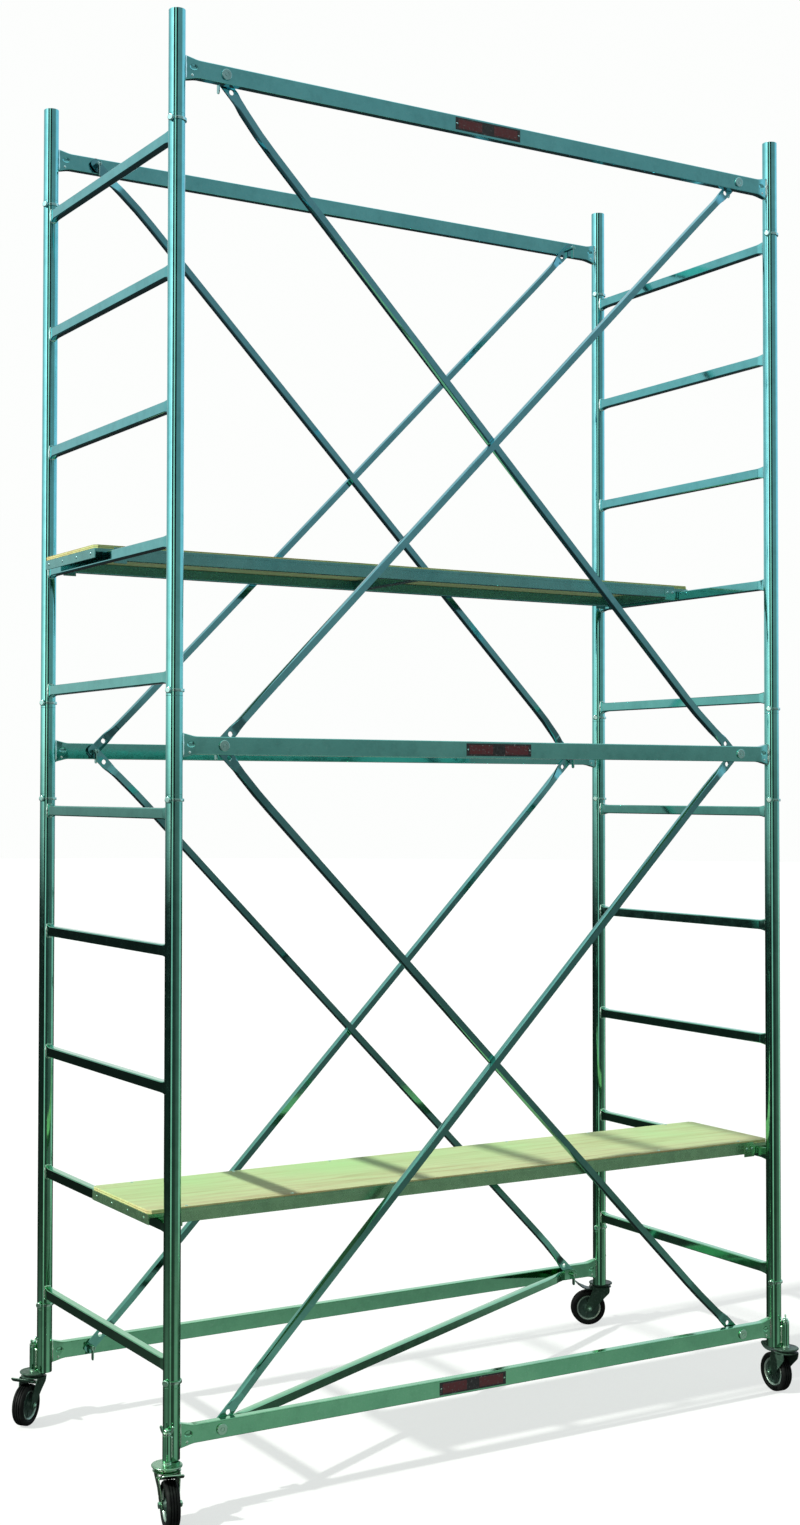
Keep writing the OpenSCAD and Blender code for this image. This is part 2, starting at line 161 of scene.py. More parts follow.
far_ground = levels(sky, heading, [
    (0.0, 0.0), (0.095, 0.0), (0.108, 0.80), (0.140, 0.80), (0.152, 0.04), (0.24, 0.06), (0.40, 0.14),
    (0.43, 0.75), (0.50, 0.75), (0.53, 0.08), (0.66, 0.02), (1.0, 0.0),
])
far_band = levels(sky, height, [(0.365, 0.0), (0.395, 1.0), (0.475, 1.0), (0.505, 0.0)])
lower_half = mixed(sky, "ADD", mixed(sky, "MULTIPLY", underfoot, near_ground),
                   mixed(sky, "MULTIPLY", far_ground, far_band))
all_round = mixed(sky, "ADD", upper_half, lower_half)

# Shiny faces reflect the panels, matt ones take an even light, and the camera sees a plain backdrop
panel_light = node_in(sky, "Background", {"Color": all_round, "Strength": 1.05})[0]
even_light = node_in(sky, "Background", {"Color": (0.94, 1.0, 0.98, 1), "Strength": 0.30})[0]
backdrop = node_in(sky, "Background", {"Color": (0.98, 0.99, 0.98, 1)})[0]
ray = node_in(sky, "LightPath")
light = node_in(sky, "MixShader", {0: ray["Is Diffuse Ray"], 1: panel_light, 2: even_light})[0]
seen = node_in(sky, "MixShader", {0: ray["Is Camera Ray"], 1: light, 2: backdrop})[0]
node_in(sky, "OutputWorld", {"Surface": seen})

floor_paint, tree, shader = fresh_material("floor_paint")
feed(tree, shader, {"Base Color": (0.30, 0.31, 0.30, 1), "Roughness": 0.9,
                    "Emission Color": (0.98, 1.0, 0.99, 1), "Emission Strength": 0.66})
bpy.ops.mesh.primitive_circle_add(vertices=96, radius=40, fill_type="NGON", location=(0, 0, 0))
floor = bpy.context.object
floor.name = "studio_floor"
floor.data.materials.append(floor_paint)
floor.visible_glossy = False
floor.visible_diffuse = False

# ---------------------------------------------------------------- Zinc finishes
# Every steel piece is zinc coated. The coat is mottled, a little cloudy, bluer high up and greener low down,
# with dull patches, small pits and dark stains. Each kind of piece mixes its own.


def noise(tree, place, scale, detail, rough=0.5, warp=0.0):
    inputs = {"Vector": place, "Scale": scale, "Detail": detail, "Roughness": rough, "Distortion": warp}
    return node_in(tree, "TexNoise", inputs)["Fac"]


def raised(tree, height, strength, depth):
    return node_in(tree, "Bump", {"Height": height, "Strength": strength, "Distance": depth})["Normal"]


def zinc_coat_group():
    group = bpy.data.node_groups.new("zinc_coat", "ShaderNodeTree")
    face = group.interface
    for label, kind, value in (
        ("High Tint", "Color", (0.3, 0.5, 0.5, 1)), ("Low Tint", "Color", (0.3, 0.5, 0.4, 1)),
        ("Stain", "Float", 0.5), ("Base Roughness", "Float", 0.25),
    ):
        socket = face.new_socket(name=label, in_out="INPUT", socket_type=f"NodeSocket{kind}")
        socket.default_value = value
    for label, kind in (("Color", "Color"), ("Roughness", "Float"), ("Height", "Float")):
        face.new_socket(name=label, in_out="OUTPUT", socket_type=f"NodeSocket{kind}")
    given = group.nodes.new("NodeGroupInput").outputs
    place = node_in(group, "TexCoord")["Object"]
    clouds, mottle = noise(group, place, 7, 4, 0.55), noise(group, place, 38, 5, 0.65)
    spangle, pits = noise(group, place, 210, 2, 0.55), noise(group, place, 520, 3, 0.7)
    rise = node_in(group, "SeparateXYZ", {0: place})["Z"]
    rise = node_in(group, "MapRange", {"Value": rise, "From Min": 0.5, "From Max": 2.3})["Result"]
    cloudy = levels(group, clouds, [(0.30, (0.86, 0.90, 0.90)), (0.70, (1.10, 1.06, 1.05))])
    mottled = levels(group, mottle, [(0.32, 0.90), (0.50, 1.0), (0.72, 1.07)])
    crystals = levels(group, spangle, [(0.56, 0.0), (0.78, 0.10)])
    stains = worked_out(group, "MULTIPLY", levels(group, mottle, [(0.60, 0.0), (0.70, 1.0)]), given["Stain"])
    specks = levels(group, pits, [(0.66, 0.0), (0.74, 0.22)])
    tint = mixed(group, "MIX", given["Low Tint"], given["High Tint"], rise)
    tint = mixed(group, "MULTIPLY", tint, cloudy)
    tint = mixed(group, "MULTIPLY", tint, mottled)
    tint = mixed(group, "MIX", tint, (0.66, 0.84, 0.80, 1), crystals)
    tint = mixed(group, "MIX", tint, (0.085, 0.13, 0.105, 1), stains)
    tint = mixed(group, "MIX", tint, (0.10, 0.14, 0.12, 1), specks)
    patches = levels(group, mottle, [(0.35, 0.0), (0.68, 1.0)])
    dull = worked_out(group, "MULTIPLY_ADD", patches, 0.06, given["Base Roughness"])
    lumps = worked_out(group, "ADD", mottle, spangle)
    feed(group, group.nodes.new("NodeGroupOutput"), {"Color": tint, "Roughness": dull, "Height": lumps})
    return group


zinc_coat = zinc_coat_group()


def zinc_material(name, high, low, stain, roughness, metallic=1.0, depth=0.0004):
    material, tree, shader = fresh_material(name)
    coat = node_in(tree, "Group", {
        "High Tint": (*high, 1), "Low Tint": (*low, 1), "Stain": stain, "Base Roughness": roughness,
    }, node_tree=zinc_coat)
    feed(tree, shader, {"Metallic": metallic, "Base Color": coat["Color"], "Roughness": coat["Roughness"],
                        "Normal": raised(tree, coat["Height"], 0.035, depth)})
    return material


galvanised_tube = zinc_material("galvanised_tube", (0.17, 0.57, 0.60), (0.18, 0.53, 0.30), 0.08, 0.045)
galvanised_sheet = zinc_material("galvanised_sheet", (0.13, 0.40, 0.41), (0.27, 0.54, 0.27), 0.04, 0.24, 0.85)
bright_zinc = zinc_material("bright_zinc", (0.36, 0.68, 0.68), (0.34, 0.64, 0.46), 0.15, 0.14)
brace_zinc = zinc_material("brace_zinc", (0.15, 0.45, 0.52), (0.14, 0.43, 0.33), 0.08, 0.045)
weld_zinc = zinc_material("weld_zinc", (0.60, 0.86, 0.84), (0.54, 0.78, 0.60), 0.10, 0.24, depth=0.0008)
pressed_steel = zinc_material("pressed_steel", (0.26, 0.48, 0.36), (0.26, 0.48, 0.32), 0.20, 0.22)
for cad_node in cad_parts.values():
    cad_node.data.materials.clear()
    cad_node.data.materials.append(galvanised_tube)

# ---------------------------------------------------------------- Beam frames
# Six beam frames: two 38 mm legs and a 40 x 20 mm rectangular beam between them. The beam's ends are pressed
# thinner and taller, dimpled and welded round the leg. Reduced spigots stand in the legs' joint ends.


def applied(piece):
    bpy.context.view_layer.objects.active = piece
    for modifier in list(piece.modifiers):
        bpy.ops.object.modifier_apply(modifier=modifier.name)
    return piece


def alone(piece):
    bpy.ops.object.select_all(action="DESELECT")
    piece.select_set(True)
    bpy.context.view_layer.objects.active = piece
    return piece


def settled(piece):
    """Puts the piece's place, turn and size into its mesh."""
    alone(piece)
    bpy.ops.object.transform_apply(location=True, rotation=True, scale=True)
    return piece


def softened(piece, width, segments=2, angle=35):
    edge = piece.modifiers.new("soft_edges", "BEVEL")
    edge.width = width
    edge.segments = segments
    edge.limit_method = "ANGLE"
    edge.angle_limit = math.radians(angle)
    return applied(alone(piece))


def cut_out(piece, cutters, kind="DIFFERENCE"):
    for cutter in cutters:
        settled(cutter)
        hole = piece.modifiers.new("cut", "BOOLEAN")
        hole.operation = kind
        hole.solver = "EXACT"
        hole.object = cutter
        applied(alone(piece))
        bpy.data.objects.remove(cutter)
    return piece


ALONG_X, ALONG_Y = (0, math.pi / 2, 0), (math.pi / 2, 0, 0)      # turns that lay an upright piece down


def block(size, at=(0, 0, 0)):
    bpy.ops.mesh.primitive_cube_add(size=1, location=at, scale=size)
    return settled(bpy.context.object)


def ball(size, at, turn=(0, 0, 0), sides=12, rounds=8):
    """An egg shape with its own radius along each axis."""
    bpy.ops.mesh.primitive_uv_sphere_add(
        segments=sides, ring_count=rounds, radius=1, scale=size, location=at, rotation=turn
    )
    return settled(bpy.context.object)


def rod(radius, length, at=(0, 0, 0), turn=(0, 0, 0), sides=32):
    bpy.ops.mesh.primitive_cylinder_add(
        vertices=sides, radius=radius, depth=length, location=at, rotation=turn
    )
    return settled(bpy.context.object)


def pipe(radius, wall, length, at=(0, 0, 0), turn=(0, 0, 0), sides=40, rim=0.0006):
    bpy.ops.mesh.primitive_cylinder_add(
        vertices=sides, radius=radius, depth=length, end_fill_type="NOTHING", location=at, rotation=turn
    )
    tube = settled(bpy.context.object)
    thick = tube.modifiers.new("wall", "SOLIDIFY")
    thick.thickness = wall
    thick.offset = -1
    applied(tube)
    return softened(tube, rim, 2, 60)


def faced_outward(piece):
    alone(piece)
    bpy.ops.object.mode_set(mode="EDIT")
    bpy.ops.mesh.select_all(action="SELECT")
    bpy.ops.mesh.normals_make_consistent(inside=False)
    bpy.ops.object.mode_set(mode="OBJECT")
    return piece


def cut_across(piece, places, axis=0):
    """New rings of corners across the piece, at places along one axis."""
    alone(piece)
    bpy.ops.object.mode_set(mode="EDIT")
    for place in places:
        bpy.ops.mesh.select_all(action="SELECT")
        spot, normal = [0, 0, 0], [0, 0, 0]
        spot[axis], normal[axis] = place, 1
        bpy.ops.mesh.bisect(plane_co=spot, plane_no=normal)
    bpy.ops.object.mode_set(mode="OBJECT")
    return piece


def stretched(piece, chosen, factor):
    """Scales the corners that chosen() picks, about the piece's own middle line."""
    alone(piece)
    mesh = piece.data
    for part in (mesh.polygons, mesh.edges):
        for item in part:
            item.select = False
    for corner in mesh.vertices:
        corner.select = chosen(corner.co)
    bpy.context.tool_settings.mesh_select_mode = (True, False, False)
    bpy.ops.object.mode_set(mode="EDIT")
    bpy.ops.transform.resize(value=factor, center_override=(0, 0, 0))
    bpy.ops.object.mode_set(mode="OBJECT")
    return piece


def copied(piece, at=(0, 0, 0), turn=(0, 0, 0)):
    twin = bpy.data.objects.new(piece.name, piece.data.copy())
    studio.collection.objects.link(twin)
    twin.location = at
    twin.rotation_euler = turn
    bpy.context.view_layer.update()
    return settled(twin)


def painted(piece, material):
    piece.data.materials.clear()
    piece.data.materials.append(material)
    return piece


def joined(name, parts):
    alone(parts[0])
    for part in parts:
        part.select_set(True)
    bpy.ops.object.join()
    whole = settled(bpy.context.object)
    whole.name = name
    whole.data.name = name
    return whole


def smoothed(piece, angle=40):
    """Smooth shading that keeps broad faces flat beside their rounded edges."""
    alone(piece)
    bpy.ops.object.shade_smooth_by_angle(angle=math.radians(angle))
    weigh = piece.modifiers.new("flat_faces", "WEIGHTED_NORMAL")
    weigh.weight = 100
    weigh.keep_sharp = True
    return applied(piece)


def fitted(piece, body, slot, *stands_for):
    """Finishes a piece: its smoothing, its body and the CAD nodes that it stands for. Its slot is not used.
    """
    smoothed(piece)
    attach(piece, body)
    if stands_for:
        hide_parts(*stands_for)
    return piece


def removed(*pieces):
    for piece in pieces:
        bpy.data.objects.remove(piece)


def weld_ring(half_width, half_height, bead, leg_radius):
    """A rippled bead round a bar's end, wrapped on a leg that stands on the Z axis, for a bar towards +X."""
    rounds, turns = 30, 6
    bpy.ops.mesh.primitive_torus_add(
        major_segments=rounds, minor_segments=turns, major_radius=1, minor_radius=0.1
    )
    ring = bpy.context.object
    for index, corner in enumerate(ring.data.vertices):
        along, across = divmod(index, turns)
        a, b = 2 * math.pi * along / rounds, 2 * math.pi * across / turns
        squared = max(abs(math.cos(a)), abs(math.sin(a)))
        y = half_width * math.cos(a) / squared ** 0.75
        z = half_height * math.sin(a) / squared ** 0.75
        swell = bead * (1 + 0.22 * math.sin(a * 9) + 0.10 * math.sin(a * 4 + 1))
        y += swell * math.cos(b) * math.cos(a)
        z += swell * math.cos(b) * math.sin(a)
        hug = math.sqrt(max(leg_radius ** 2 - y ** 2, 0))
        corner.co = (hug + 0.3 * bead + swell * math.sin(b), y, z)
    return painted(faced_outward(ring), weld_zinc)


TUBE_WALL = 0.002
PIN_HEAD_R = 0.0125
pins_low, pins_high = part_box("brace_pins")
BEAM_Z = [pins_low.z + PIN_HEAD_R, 0, pins_high.z - PIN_HEAD_R]
BEAM_Z[1] = (BEAM_Z[0] + BEAM_Z[2]) / 2
BEAM_T, BEAM_H = 0.020, 0.040
DIMPLE = (0.0105, 0.0036, 0.0075)
BEAM_RIVET = (0.0034, 0.0018, 0.0034)
BURIED = 0.0158                                # a bar's end sits this far from its leg's middle
beam_half = (LEG_X[1] - LEG_X[0]) / 2 - BURIED
beam = block((2 * beam_half, BEAM_T, BEAM_H))
end_steps = (0.0357, 0.027, 0.017, 0.006)      # how far each pressed ring is from the beam's end
cut_across(beam, [s * (beam_half - step) for s in (-1, 1) for step in end_steps])
for step, thin, tall in ((0.027, 0.97, 1.06), (0.017, 0.86, 1.19), (0.006, 0.74, 1.33), (0.0, 0.72, 1.35)):
    stretched(beam, lambda co: abs(abs(co.x) - (beam_half - step)) < 0.001, (1, thin, tall))
softened(beam, 0.0022, 3)
dimples, rivets = [], []
for s in (-1, 1):
    for face in (-1, 1):
        dimples.append(ball(DIMPLE, (s * (beam_half - 0.021), face * 0.0094, 0.002), sides=24, rounds=12))
        rivet = ball(BEAM_RIVET, (s * (beam_half - 0.018), face * 0.0083, -0.0155))
        rivets.append(painted(rivet, weld_zinc))
painted(cut_out(beam, dimples), galvanised_tube)
beam = joined("beam", [beam] + rivets)
beam_weld = weld_ring(0.0075, 0.0262, 0.0024, LEG_R)

SPIGOT_LENGTH, SPIGOT_SUNK = 0.060, 0.020      # what shows of a spigot, and what is inside its leg
SPIGOT_R = LEG_R - TUBE_WALL - 0.0002
stem_low, stem_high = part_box("caster_stems")
RACE_R = 0.034
STEM_X = (stem_low.x + RACE_R, stem_high.x - RACE_R)
STEM_Y = (stem_low.y + RACE_R, stem_high.y - RACE_R)
STUB_R, STUB_BOTTOM, STUB_TOP = 0.010, 0.128, 0.184


def leg_set(x, y, bottom, top, spigot_down, spigot_up):
    """A leg tube, and a narrower spigot tube in each end that wants one."""
    tubes = [pipe(LEG_R, TUBE_WALL, top - bottom, (x, y, (bottom + top) / 2))]
    for wanted, end, way in ((spigot_down, bottom, -1), (spigot_up, top, 1)):
        if wanted:
            at = (x, y, end + way * (SPIGOT_LENGTH - SPIGOT_SUNK) / 2)
            tubes.append(pipe(SPIGOT_R, TUBE_WALL, SPIGOT_LENGTH + SPIGOT_SUNK, at))
    return [painted(tube, galvanised_tube) for tube in tubes]


def seam(length, radius, at):
    """A rippled upright weld bead, in the crease between two tubes."""
    ripples = 14
    bead = rod(radius, length, sides=10)
    places = [length * (step / ripples - 0.5) for step in range(1, ripples)]
    cut_across(bead, places, axis=2)
    stretched(bead, lambda co: any(abs(co.z - place) < 0.0004 for place in places[::2]), (1.3, 1.3, 1))
    stretched(bead, lambda co: abs(co.z) > length / 2 - 0.0004, (0.5, 0.5, 1))
    bead.location = at
    return painted(settled(bead), weld_zinc)


def caster_stub(x, y, leg_x, leg_y):
    """The short tube for a caster's stem, and its two welds along the leg."""
    gap = math.hypot(x - leg_x, y - leg_y)
    middle_z, length = (STUB_TOP + STUB_BOTTOM) / 2, STUB_TOP - STUB_BOTTOM
    tube = painted(pipe(STUB_R, 0.0028, length, (gap, 0, middle_z), sides=32, rim=0.0010), galvanised_tube)
    touch = LEG_R * gap / (LEG_R + STUB_R)
    beads = [seam(length * 0.86, 0.0026, (touch, side * 0.0062, middle_z)) for side in (-1, 1)]
    stub = joined("stub", [tube] + beads)
    stub.rotation_euler = (0, 0, math.atan2(y - leg_y, x - leg_x))
    stub.location = (leg_x, leg_y, 0)
    return settled(stub)


for level, height_name in enumerate(("base", "middle", "top")):
    for side, side_name in enumerate(("front", "rear")):
        node_name = f"{height_name}_frame_{side_name}"
        low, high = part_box(node_name)
        bottom = low.z + (SPIGOT_LENGTH if level > 0 else 0)
        top = high.z - (SPIGOT_LENGTH if level < 2 else 0)
        y = LEG_Y[side]
        parts = [copied(beam, (MIDDLE.x, y, BEAM_Z[level]))]
        for end in (0, 1):
            parts += leg_set(LEG_X[end], y, bottom, top, level > 0, level < 2)
            parts.append(copied(beam_weld, (LEG_X[end], y, BEAM_Z[level]), (0, 0, math.pi * end)))
            if level == 0:
                parts.append(caster_stub(STEM_X[end], STEM_Y[side], LEG_X[end], y))
        fitted(joined(f"{node_name}_welded", parts), "tower", "galvanised_tube", node_name)
removed(beam, beam_weld)

# ---------------------------------------------------------------- Label plates
# A thin printed tin plate is riveted to the face of each front beam: two plain dull red panels on black,
# with nothing written on them.
LABEL_T, LABEL_H, LABEL_L = 0.0006, 0.030, 0.190
LABEL_MIDDLES = (-0.088, -0.012, -0.044)       # along the beam at each level, from the tower's middle
LABEL_TACK = (0.0022, 0.0010, 0.0022)


def print_ink(name, ink):
    material, tree, shader = fresh_material(name)
    rub = noise(tree, node_in(tree, "TexCoord")["Object"], 160, 4)
    faded = tuple(0.75 * part + 0.02 for part in ink)
    tone = levels(tree, rub, [(0.42, ink), (0.62, faded), (0.74, (0.30, 0.34, 0.32))])
    feed(tree, shader, {"Base Color": tone, "Roughness": levels(tree, rub, [(0.30, 0.28), (0.75, 0.50)])})
    return material


black_ink = print_ink("black_ink", (0.012, 0.016, 0.015))
red_ink = print_ink("red_ink", (0.13, 0.020, 0.022))
labels = []
for level, along in enumerate(LABEL_MIDDLES):
    at = Vector((MIDDLE.x + along, LEG_Y[0] - BEAM_T / 2 - LABEL_T / 2, BEAM_Z[level]))
    labels.append(painted(softened(block((LABEL_L, LABEL_T, LABEL_H), at), 0.0002, 1), black_ink))
    for way in (-1, 1):
        panel_at = at + Vector((way * LABEL_L * 0.275, -LABEL_T * 0.35, 0))
        red_panel = softened(block((LABEL_L * 0.36, LABEL_T, LABEL_H * 0.72), panel_at), 0.0002, 1)
        labels.append(painted(red_panel, red_ink))
        tack = ball(LABEL_TACK, at + Vector((way * (LABEL_L / 2 - 0.0045), -LABEL_T / 2, 0)))
        labels.append(painted(tack, bright_zinc))
fitted(joined("beam_label_plates", labels), "tower", "bright_zinc")

# ---------------------------------------------------------------- Ladder frames
# Four ladder frames: two plain legs and five rungs of 25 x 20 mm tube. Each rung's ends are pinched,
# spread to 33 mm and welded to the legs, which leaves a bright bead at each joint.
RUNG_END_GAP, RUNG_PITCH, RUNG_COUNT = 0.042, 0.300, 5
RUNG_H, RUNG_T = 0.025, 0.020
rung_half = (LEG_Y[1] - LEG_Y[0]) / 2 - BURIED
rung = block((RUNG_T, 2 * rung_half, RUNG_H))
rung_steps = (                                 # how far each pressed ring is from the end, and its squash
    (0.0255, 1.0, 1.0), (0.018, 0.95, 1.06), (0.010, 0.84, 1.2), (0.004, 0.78, 1.32), (0.0, 0.78, 1.32),
)
cut_across(rung, [s * (rung_half - step) for s in (-1, 1) for step, _, _ in rung_steps[:-1]], axis=1)
for step, thin, tall in rung_steps[1:]:
    stretched(rung, lambda co: abs(abs(co.y) - (rung_half - step)) < 0.001, (thin, 1, tall))
softened(rung, 0.0026, 3)
painted(rung, galvanised_tube)
rung_weld = weld_ring(0.0080, 0.0165, 0.0021, LEG_R)
for stage_name in ("lower", "upper"):
    for end, end_name in enumerate(("left", "right")):
        node_name = f"{stage_name}_ladder_{end_name}"
        low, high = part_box(node_name)
        x = LEG_X[end]
        parts = []
        for side in (0, 1):
            tube = pipe(LEG_R, TUBE_WALL, high.z - low.z, (x, LEG_Y[side], (low.z + high.z) / 2))
            parts.append(painted(tube, galvanised_tube))
        for step in range(RUNG_COUNT):
            z = low.z + RUNG_END_GAP + step * RUNG_PITCH
            parts.append(copied(rung, (x, MIDDLE.y, z)))
            for side in (0, 1):
                turn = math.pi / 2 if side == 0 else -math.pi / 2
                parts.append(copied(rung_weld, (x, LEG_Y[side], z), (0, 0, turn)))
        fitted(joined(f"{node_name}_welded", parts), "tower", "galvanised_tube", node_name)
removed(rung, rung_weld)

# ---------------------------------------------------------------- Cross braces
# Eight round tube braces, 18 mm thick. Their ends are pressed flat, rounded, drilled twice and stepped so
# that a rising and a falling brace cross without touching. They hang on the pins behind the beams.
PIN_X = (pins_low.x + PIN_HEAD_R, pins_high.x - PIN_HEAD_R)
PIN_HOLE_R = 0.0062
SPARE_HOLE = 0.038                             # the second hole's distance from the first
BRACE_D, BRACE_END = 0.018, 0.016              # each tube runs on past its end hole by BRACE_END
BRACE_LINES = {"rising": (0.003, 0.0095), "falling": (0.0075, 0.028)}    # flat ends, tube: off the beam
BEAM_FACE = (LEG_Y[1] - LEG_Y[0]) / 2 - BEAM_T / 2


def pressed(piece, rings, diameter):
    """Flattens a round tube at rings of (place along X, width, thickness, offset in Y)."""
    for place, width, thickness, offset in rings:
        for corner in piece.data.vertices:
            if abs(corner.co.x - place) < 0.0005:
                y = corner.co.y * max(1.0, 2.2 * thickness / diameter)
                corner.co.y = offset + max(-thickness / 2, min(thickness / 2, y))
                corner.co.z *= width / diameter
    return piece


def brace_tube(length, diameter, tab, axis):
    """A brace along +X from its first hole: flat ends at tab, and the tube between them at axis, in Y."""
    tube = rod(diameter / 2, length + 2 * BRACE_END, (length / 2, 0, 0), ALONG_X, sides=24)
    step = axis - tab
    half = [
        (-BRACE_END, 0.012, 0.0036, tab), (-0.0135, 0.020, 0.004, tab), (-0.007, 0.0255, 0.004, tab),
        (0.003, 0.027, 0.004, tab), (0.048, 0.0265, 0.004, tab + 0.05 * step),
        (0.056, 0.0248, 0.0058, tab + 0.12 * step), (0.066, 0.0218, 0.0105, tab + 0.24 * step),
        (0.078, 0.0190, 0.0160, tab + 0.38 * step), (0.088, diameter, diameter, tab + 0.50 * step),
        (0.150, diameter, diameter, tab + 0.90 * step), (0.200, diameter, diameter, axis),
    ]
    rings = half + [(length - place, width, thick, shift) for place, width, thick, shift in half]
    cut_across(tube, [ring[0] for ring in rings if -BRACE_END < ring[0] < length + BRACE_END])
    pressed(tube, rings, diameter)
    holes = [rod(PIN_HOLE_R, 0.06, (place, axis, 0), ALONG_Y, 24)
             for place in (0, SPARE_HOLE, length - SPARE_HOLE, length)]
    return painted(cut_out(tube, holes), brace_zinc)


storey = BEAM_Z[1] - BEAM_Z[0]
brace_span = PIN_X[1] - PIN_X[0]
brace_length = math.hypot(brace_span, storey)
lean = math.atan2(storey, brace_span)
braces = {way: brace_tube(brace_length, BRACE_D, *lines) for way, lines in BRACE_LINES.items()}
for stage, stage_name in enumerate(("lower", "upper")):
    for side, side_name in enumerate(("front", "rear")):
        for way, tube in braces.items():
            node_name = f"{stage_name}_brace_{side_name}_{way}"
            start_z = BEAM_Z[stage] if way == "rising" else BEAM_Z[stage + 1]
            y = MIDDLE.y + (BEAM_FACE if side else -BEAM_FACE)
            turned_over = copied(tube, turn=(math.pi * side, 0, 0))
            turn = (0, -lean if way == "rising" else lean, 0)
            piece = copied(turned_over, (PIN_X[0], y, start_z), turn)
            removed(turned_over)
            piece.name = f"{node_name}_tube"
            fitted(piece, "tower", "galvanised_tube", node_name)
removed(*braces.values())

# ---------------------------------------------------------------- Floor-level diagonal
# One heavier tube from the front left pin to the rear right one keeps the base square. Its flat ends turn
# to lie against the other braces on the pins.
DIAGONAL_D, DIAGONAL_TAB, DIAGONAL_KINK = 0.022, 0.012, 0.028
FLAT_END, FLAT_T, FLAT_W = 0.016, 0.0036, 0.026                  # each flat end runs on past its pin
tab_y = BEAM_FACE - DIAGONAL_TAB
half_span = brace_span / 2
skew = math.atan2(2 * tab_y, 2 * (half_span - DIAGONAL_KINK))
diagonal_half = math.hypot(tab_y, half_span - DIAGONAL_KINK)
diagonal = rod(DIAGONAL_D / 2, 2 * diagonal_half, (0, 0, 0), ALONG_X, sides=24)
diagonal_rings = (
    (0.0, 0.026, 0.0036), (0.012, 0.0275, 0.0036), (0.026, 0.0265, 0.0060), (0.042, 0.0250, 0.0120),
    (0.056, 0.0232, 0.0180), (0.070, DIAGONAL_D, DIAGONAL_D),
)
cut_across(diagonal, [s * (diagonal_half - place) for s in (-1, 1) for place, _, _ in diagonal_rings[1:]])
for end in (-1, 1):
    rings = [(end * (diagonal_half - place), wide, thick, 0) for place, wide, thick in diagonal_rings]
    pressed(diagonal, rings, DIAGONAL_D)
diagonal.rotation_euler = (0, 0, skew)
settled(diagonal)
diagonal_parts = [diagonal]
for end in (-1, 1):
    flat_l = DIAGONAL_KINK + FLAT_END
    flat = block((flat_l, FLAT_T, FLAT_W), (end * (half_span + FLAT_END - flat_l / 2), end * tab_y, 0))
    cut_across(flat, [end * (half_span + 0.010), end * (half_span + 0.004)])
    stretched(flat, lambda co: abs(co.x) > half_span + 0.0155, (1, 1, 0.45))
    stretched(flat, lambda co: abs(abs(co.x) - half_span - 0.010) < 0.0005, (1, 1, 0.86))
    softened(flat, 0.0012)
    cut_out(flat, [rod(PIN_HOLE_R, 0.02, (end * half_span, end * tab_y, 0), ALONG_Y, 24)])
    diagonal_parts.append(flat)
for part in diagonal_parts:
    painted(part, galvanised_tube)
floor_brace = joined("floor_diagonal_tube", diagonal_parts)
floor_brace.location = (MIDDLE.x, MIDDLE.y, BEAM_Z[0])
settled(floor_brace)
fitted(floor_brace, "tower", "galvanised_tube", "floor_diagonal")

# ---------------------------------------------------------------- Brace pins
# Twelve turned pins go through the beams. Each has a flat round head outside, a long shank inside that
# carries the braces, and a slot near its tip for the latch and its rivet.
PIN_R, PIN_TIP, LATCH_PIVOT = 0.006, 0.0265, 0.0195
PIN_HEAD_T = 0.004
pin_head = rod(PIN_HEAD_R, PIN_HEAD_T, (0, -BEAM_T - PIN_HEAD_T / 2, 0), ALONG_Y, 40)
softened(pin_head, 0.0013, 3)
cut_out(pin_head, [rod(0.0052, 0.002, (0, -BEAM_T - PIN_HEAD_T, 0), ALONG_Y, 24)])
centre_boss = rod(0.0044, 0.0022, (0, -BEAM_T - PIN_HEAD_T + 0.0012, 0), ALONG_Y, 24)
softened(centre_boss, 0.0008)
shank = rod(PIN_R, BEAM_T + PIN_TIP, (0, (PIN_TIP - BEAM_T) / 2, 0), ALONG_Y, 28)
softened(shank, 0.0010)
cut_out(shank, [block((0.004, 0.020, 0.030), (0, LATCH_PIVOT + 0.004, 0))])
rivet = rod(0.0015, 0.0132, (0, LATCH_PIVOT, 0), ALONG_X, 16)
brace_pin = painted(joined("brace_pin", [pin_head, centre_boss, shank, rivet]), bright_zinc)
pin_copies = []
for height in BEAM_Z:
    for across in PIN_X:
        for side in (0, 1):
            face_y = MIDDLE.y + (BEAM_FACE if side else -BEAM_FACE)
            pin_copies.append(copied(brace_pin, (across, face_y, height), (0, 0, math.pi * side)))
fitted(joined("brace_pins_turned", pin_copies), "tower", "bright_zinc", "brace_pins")
removed(brace_pin)

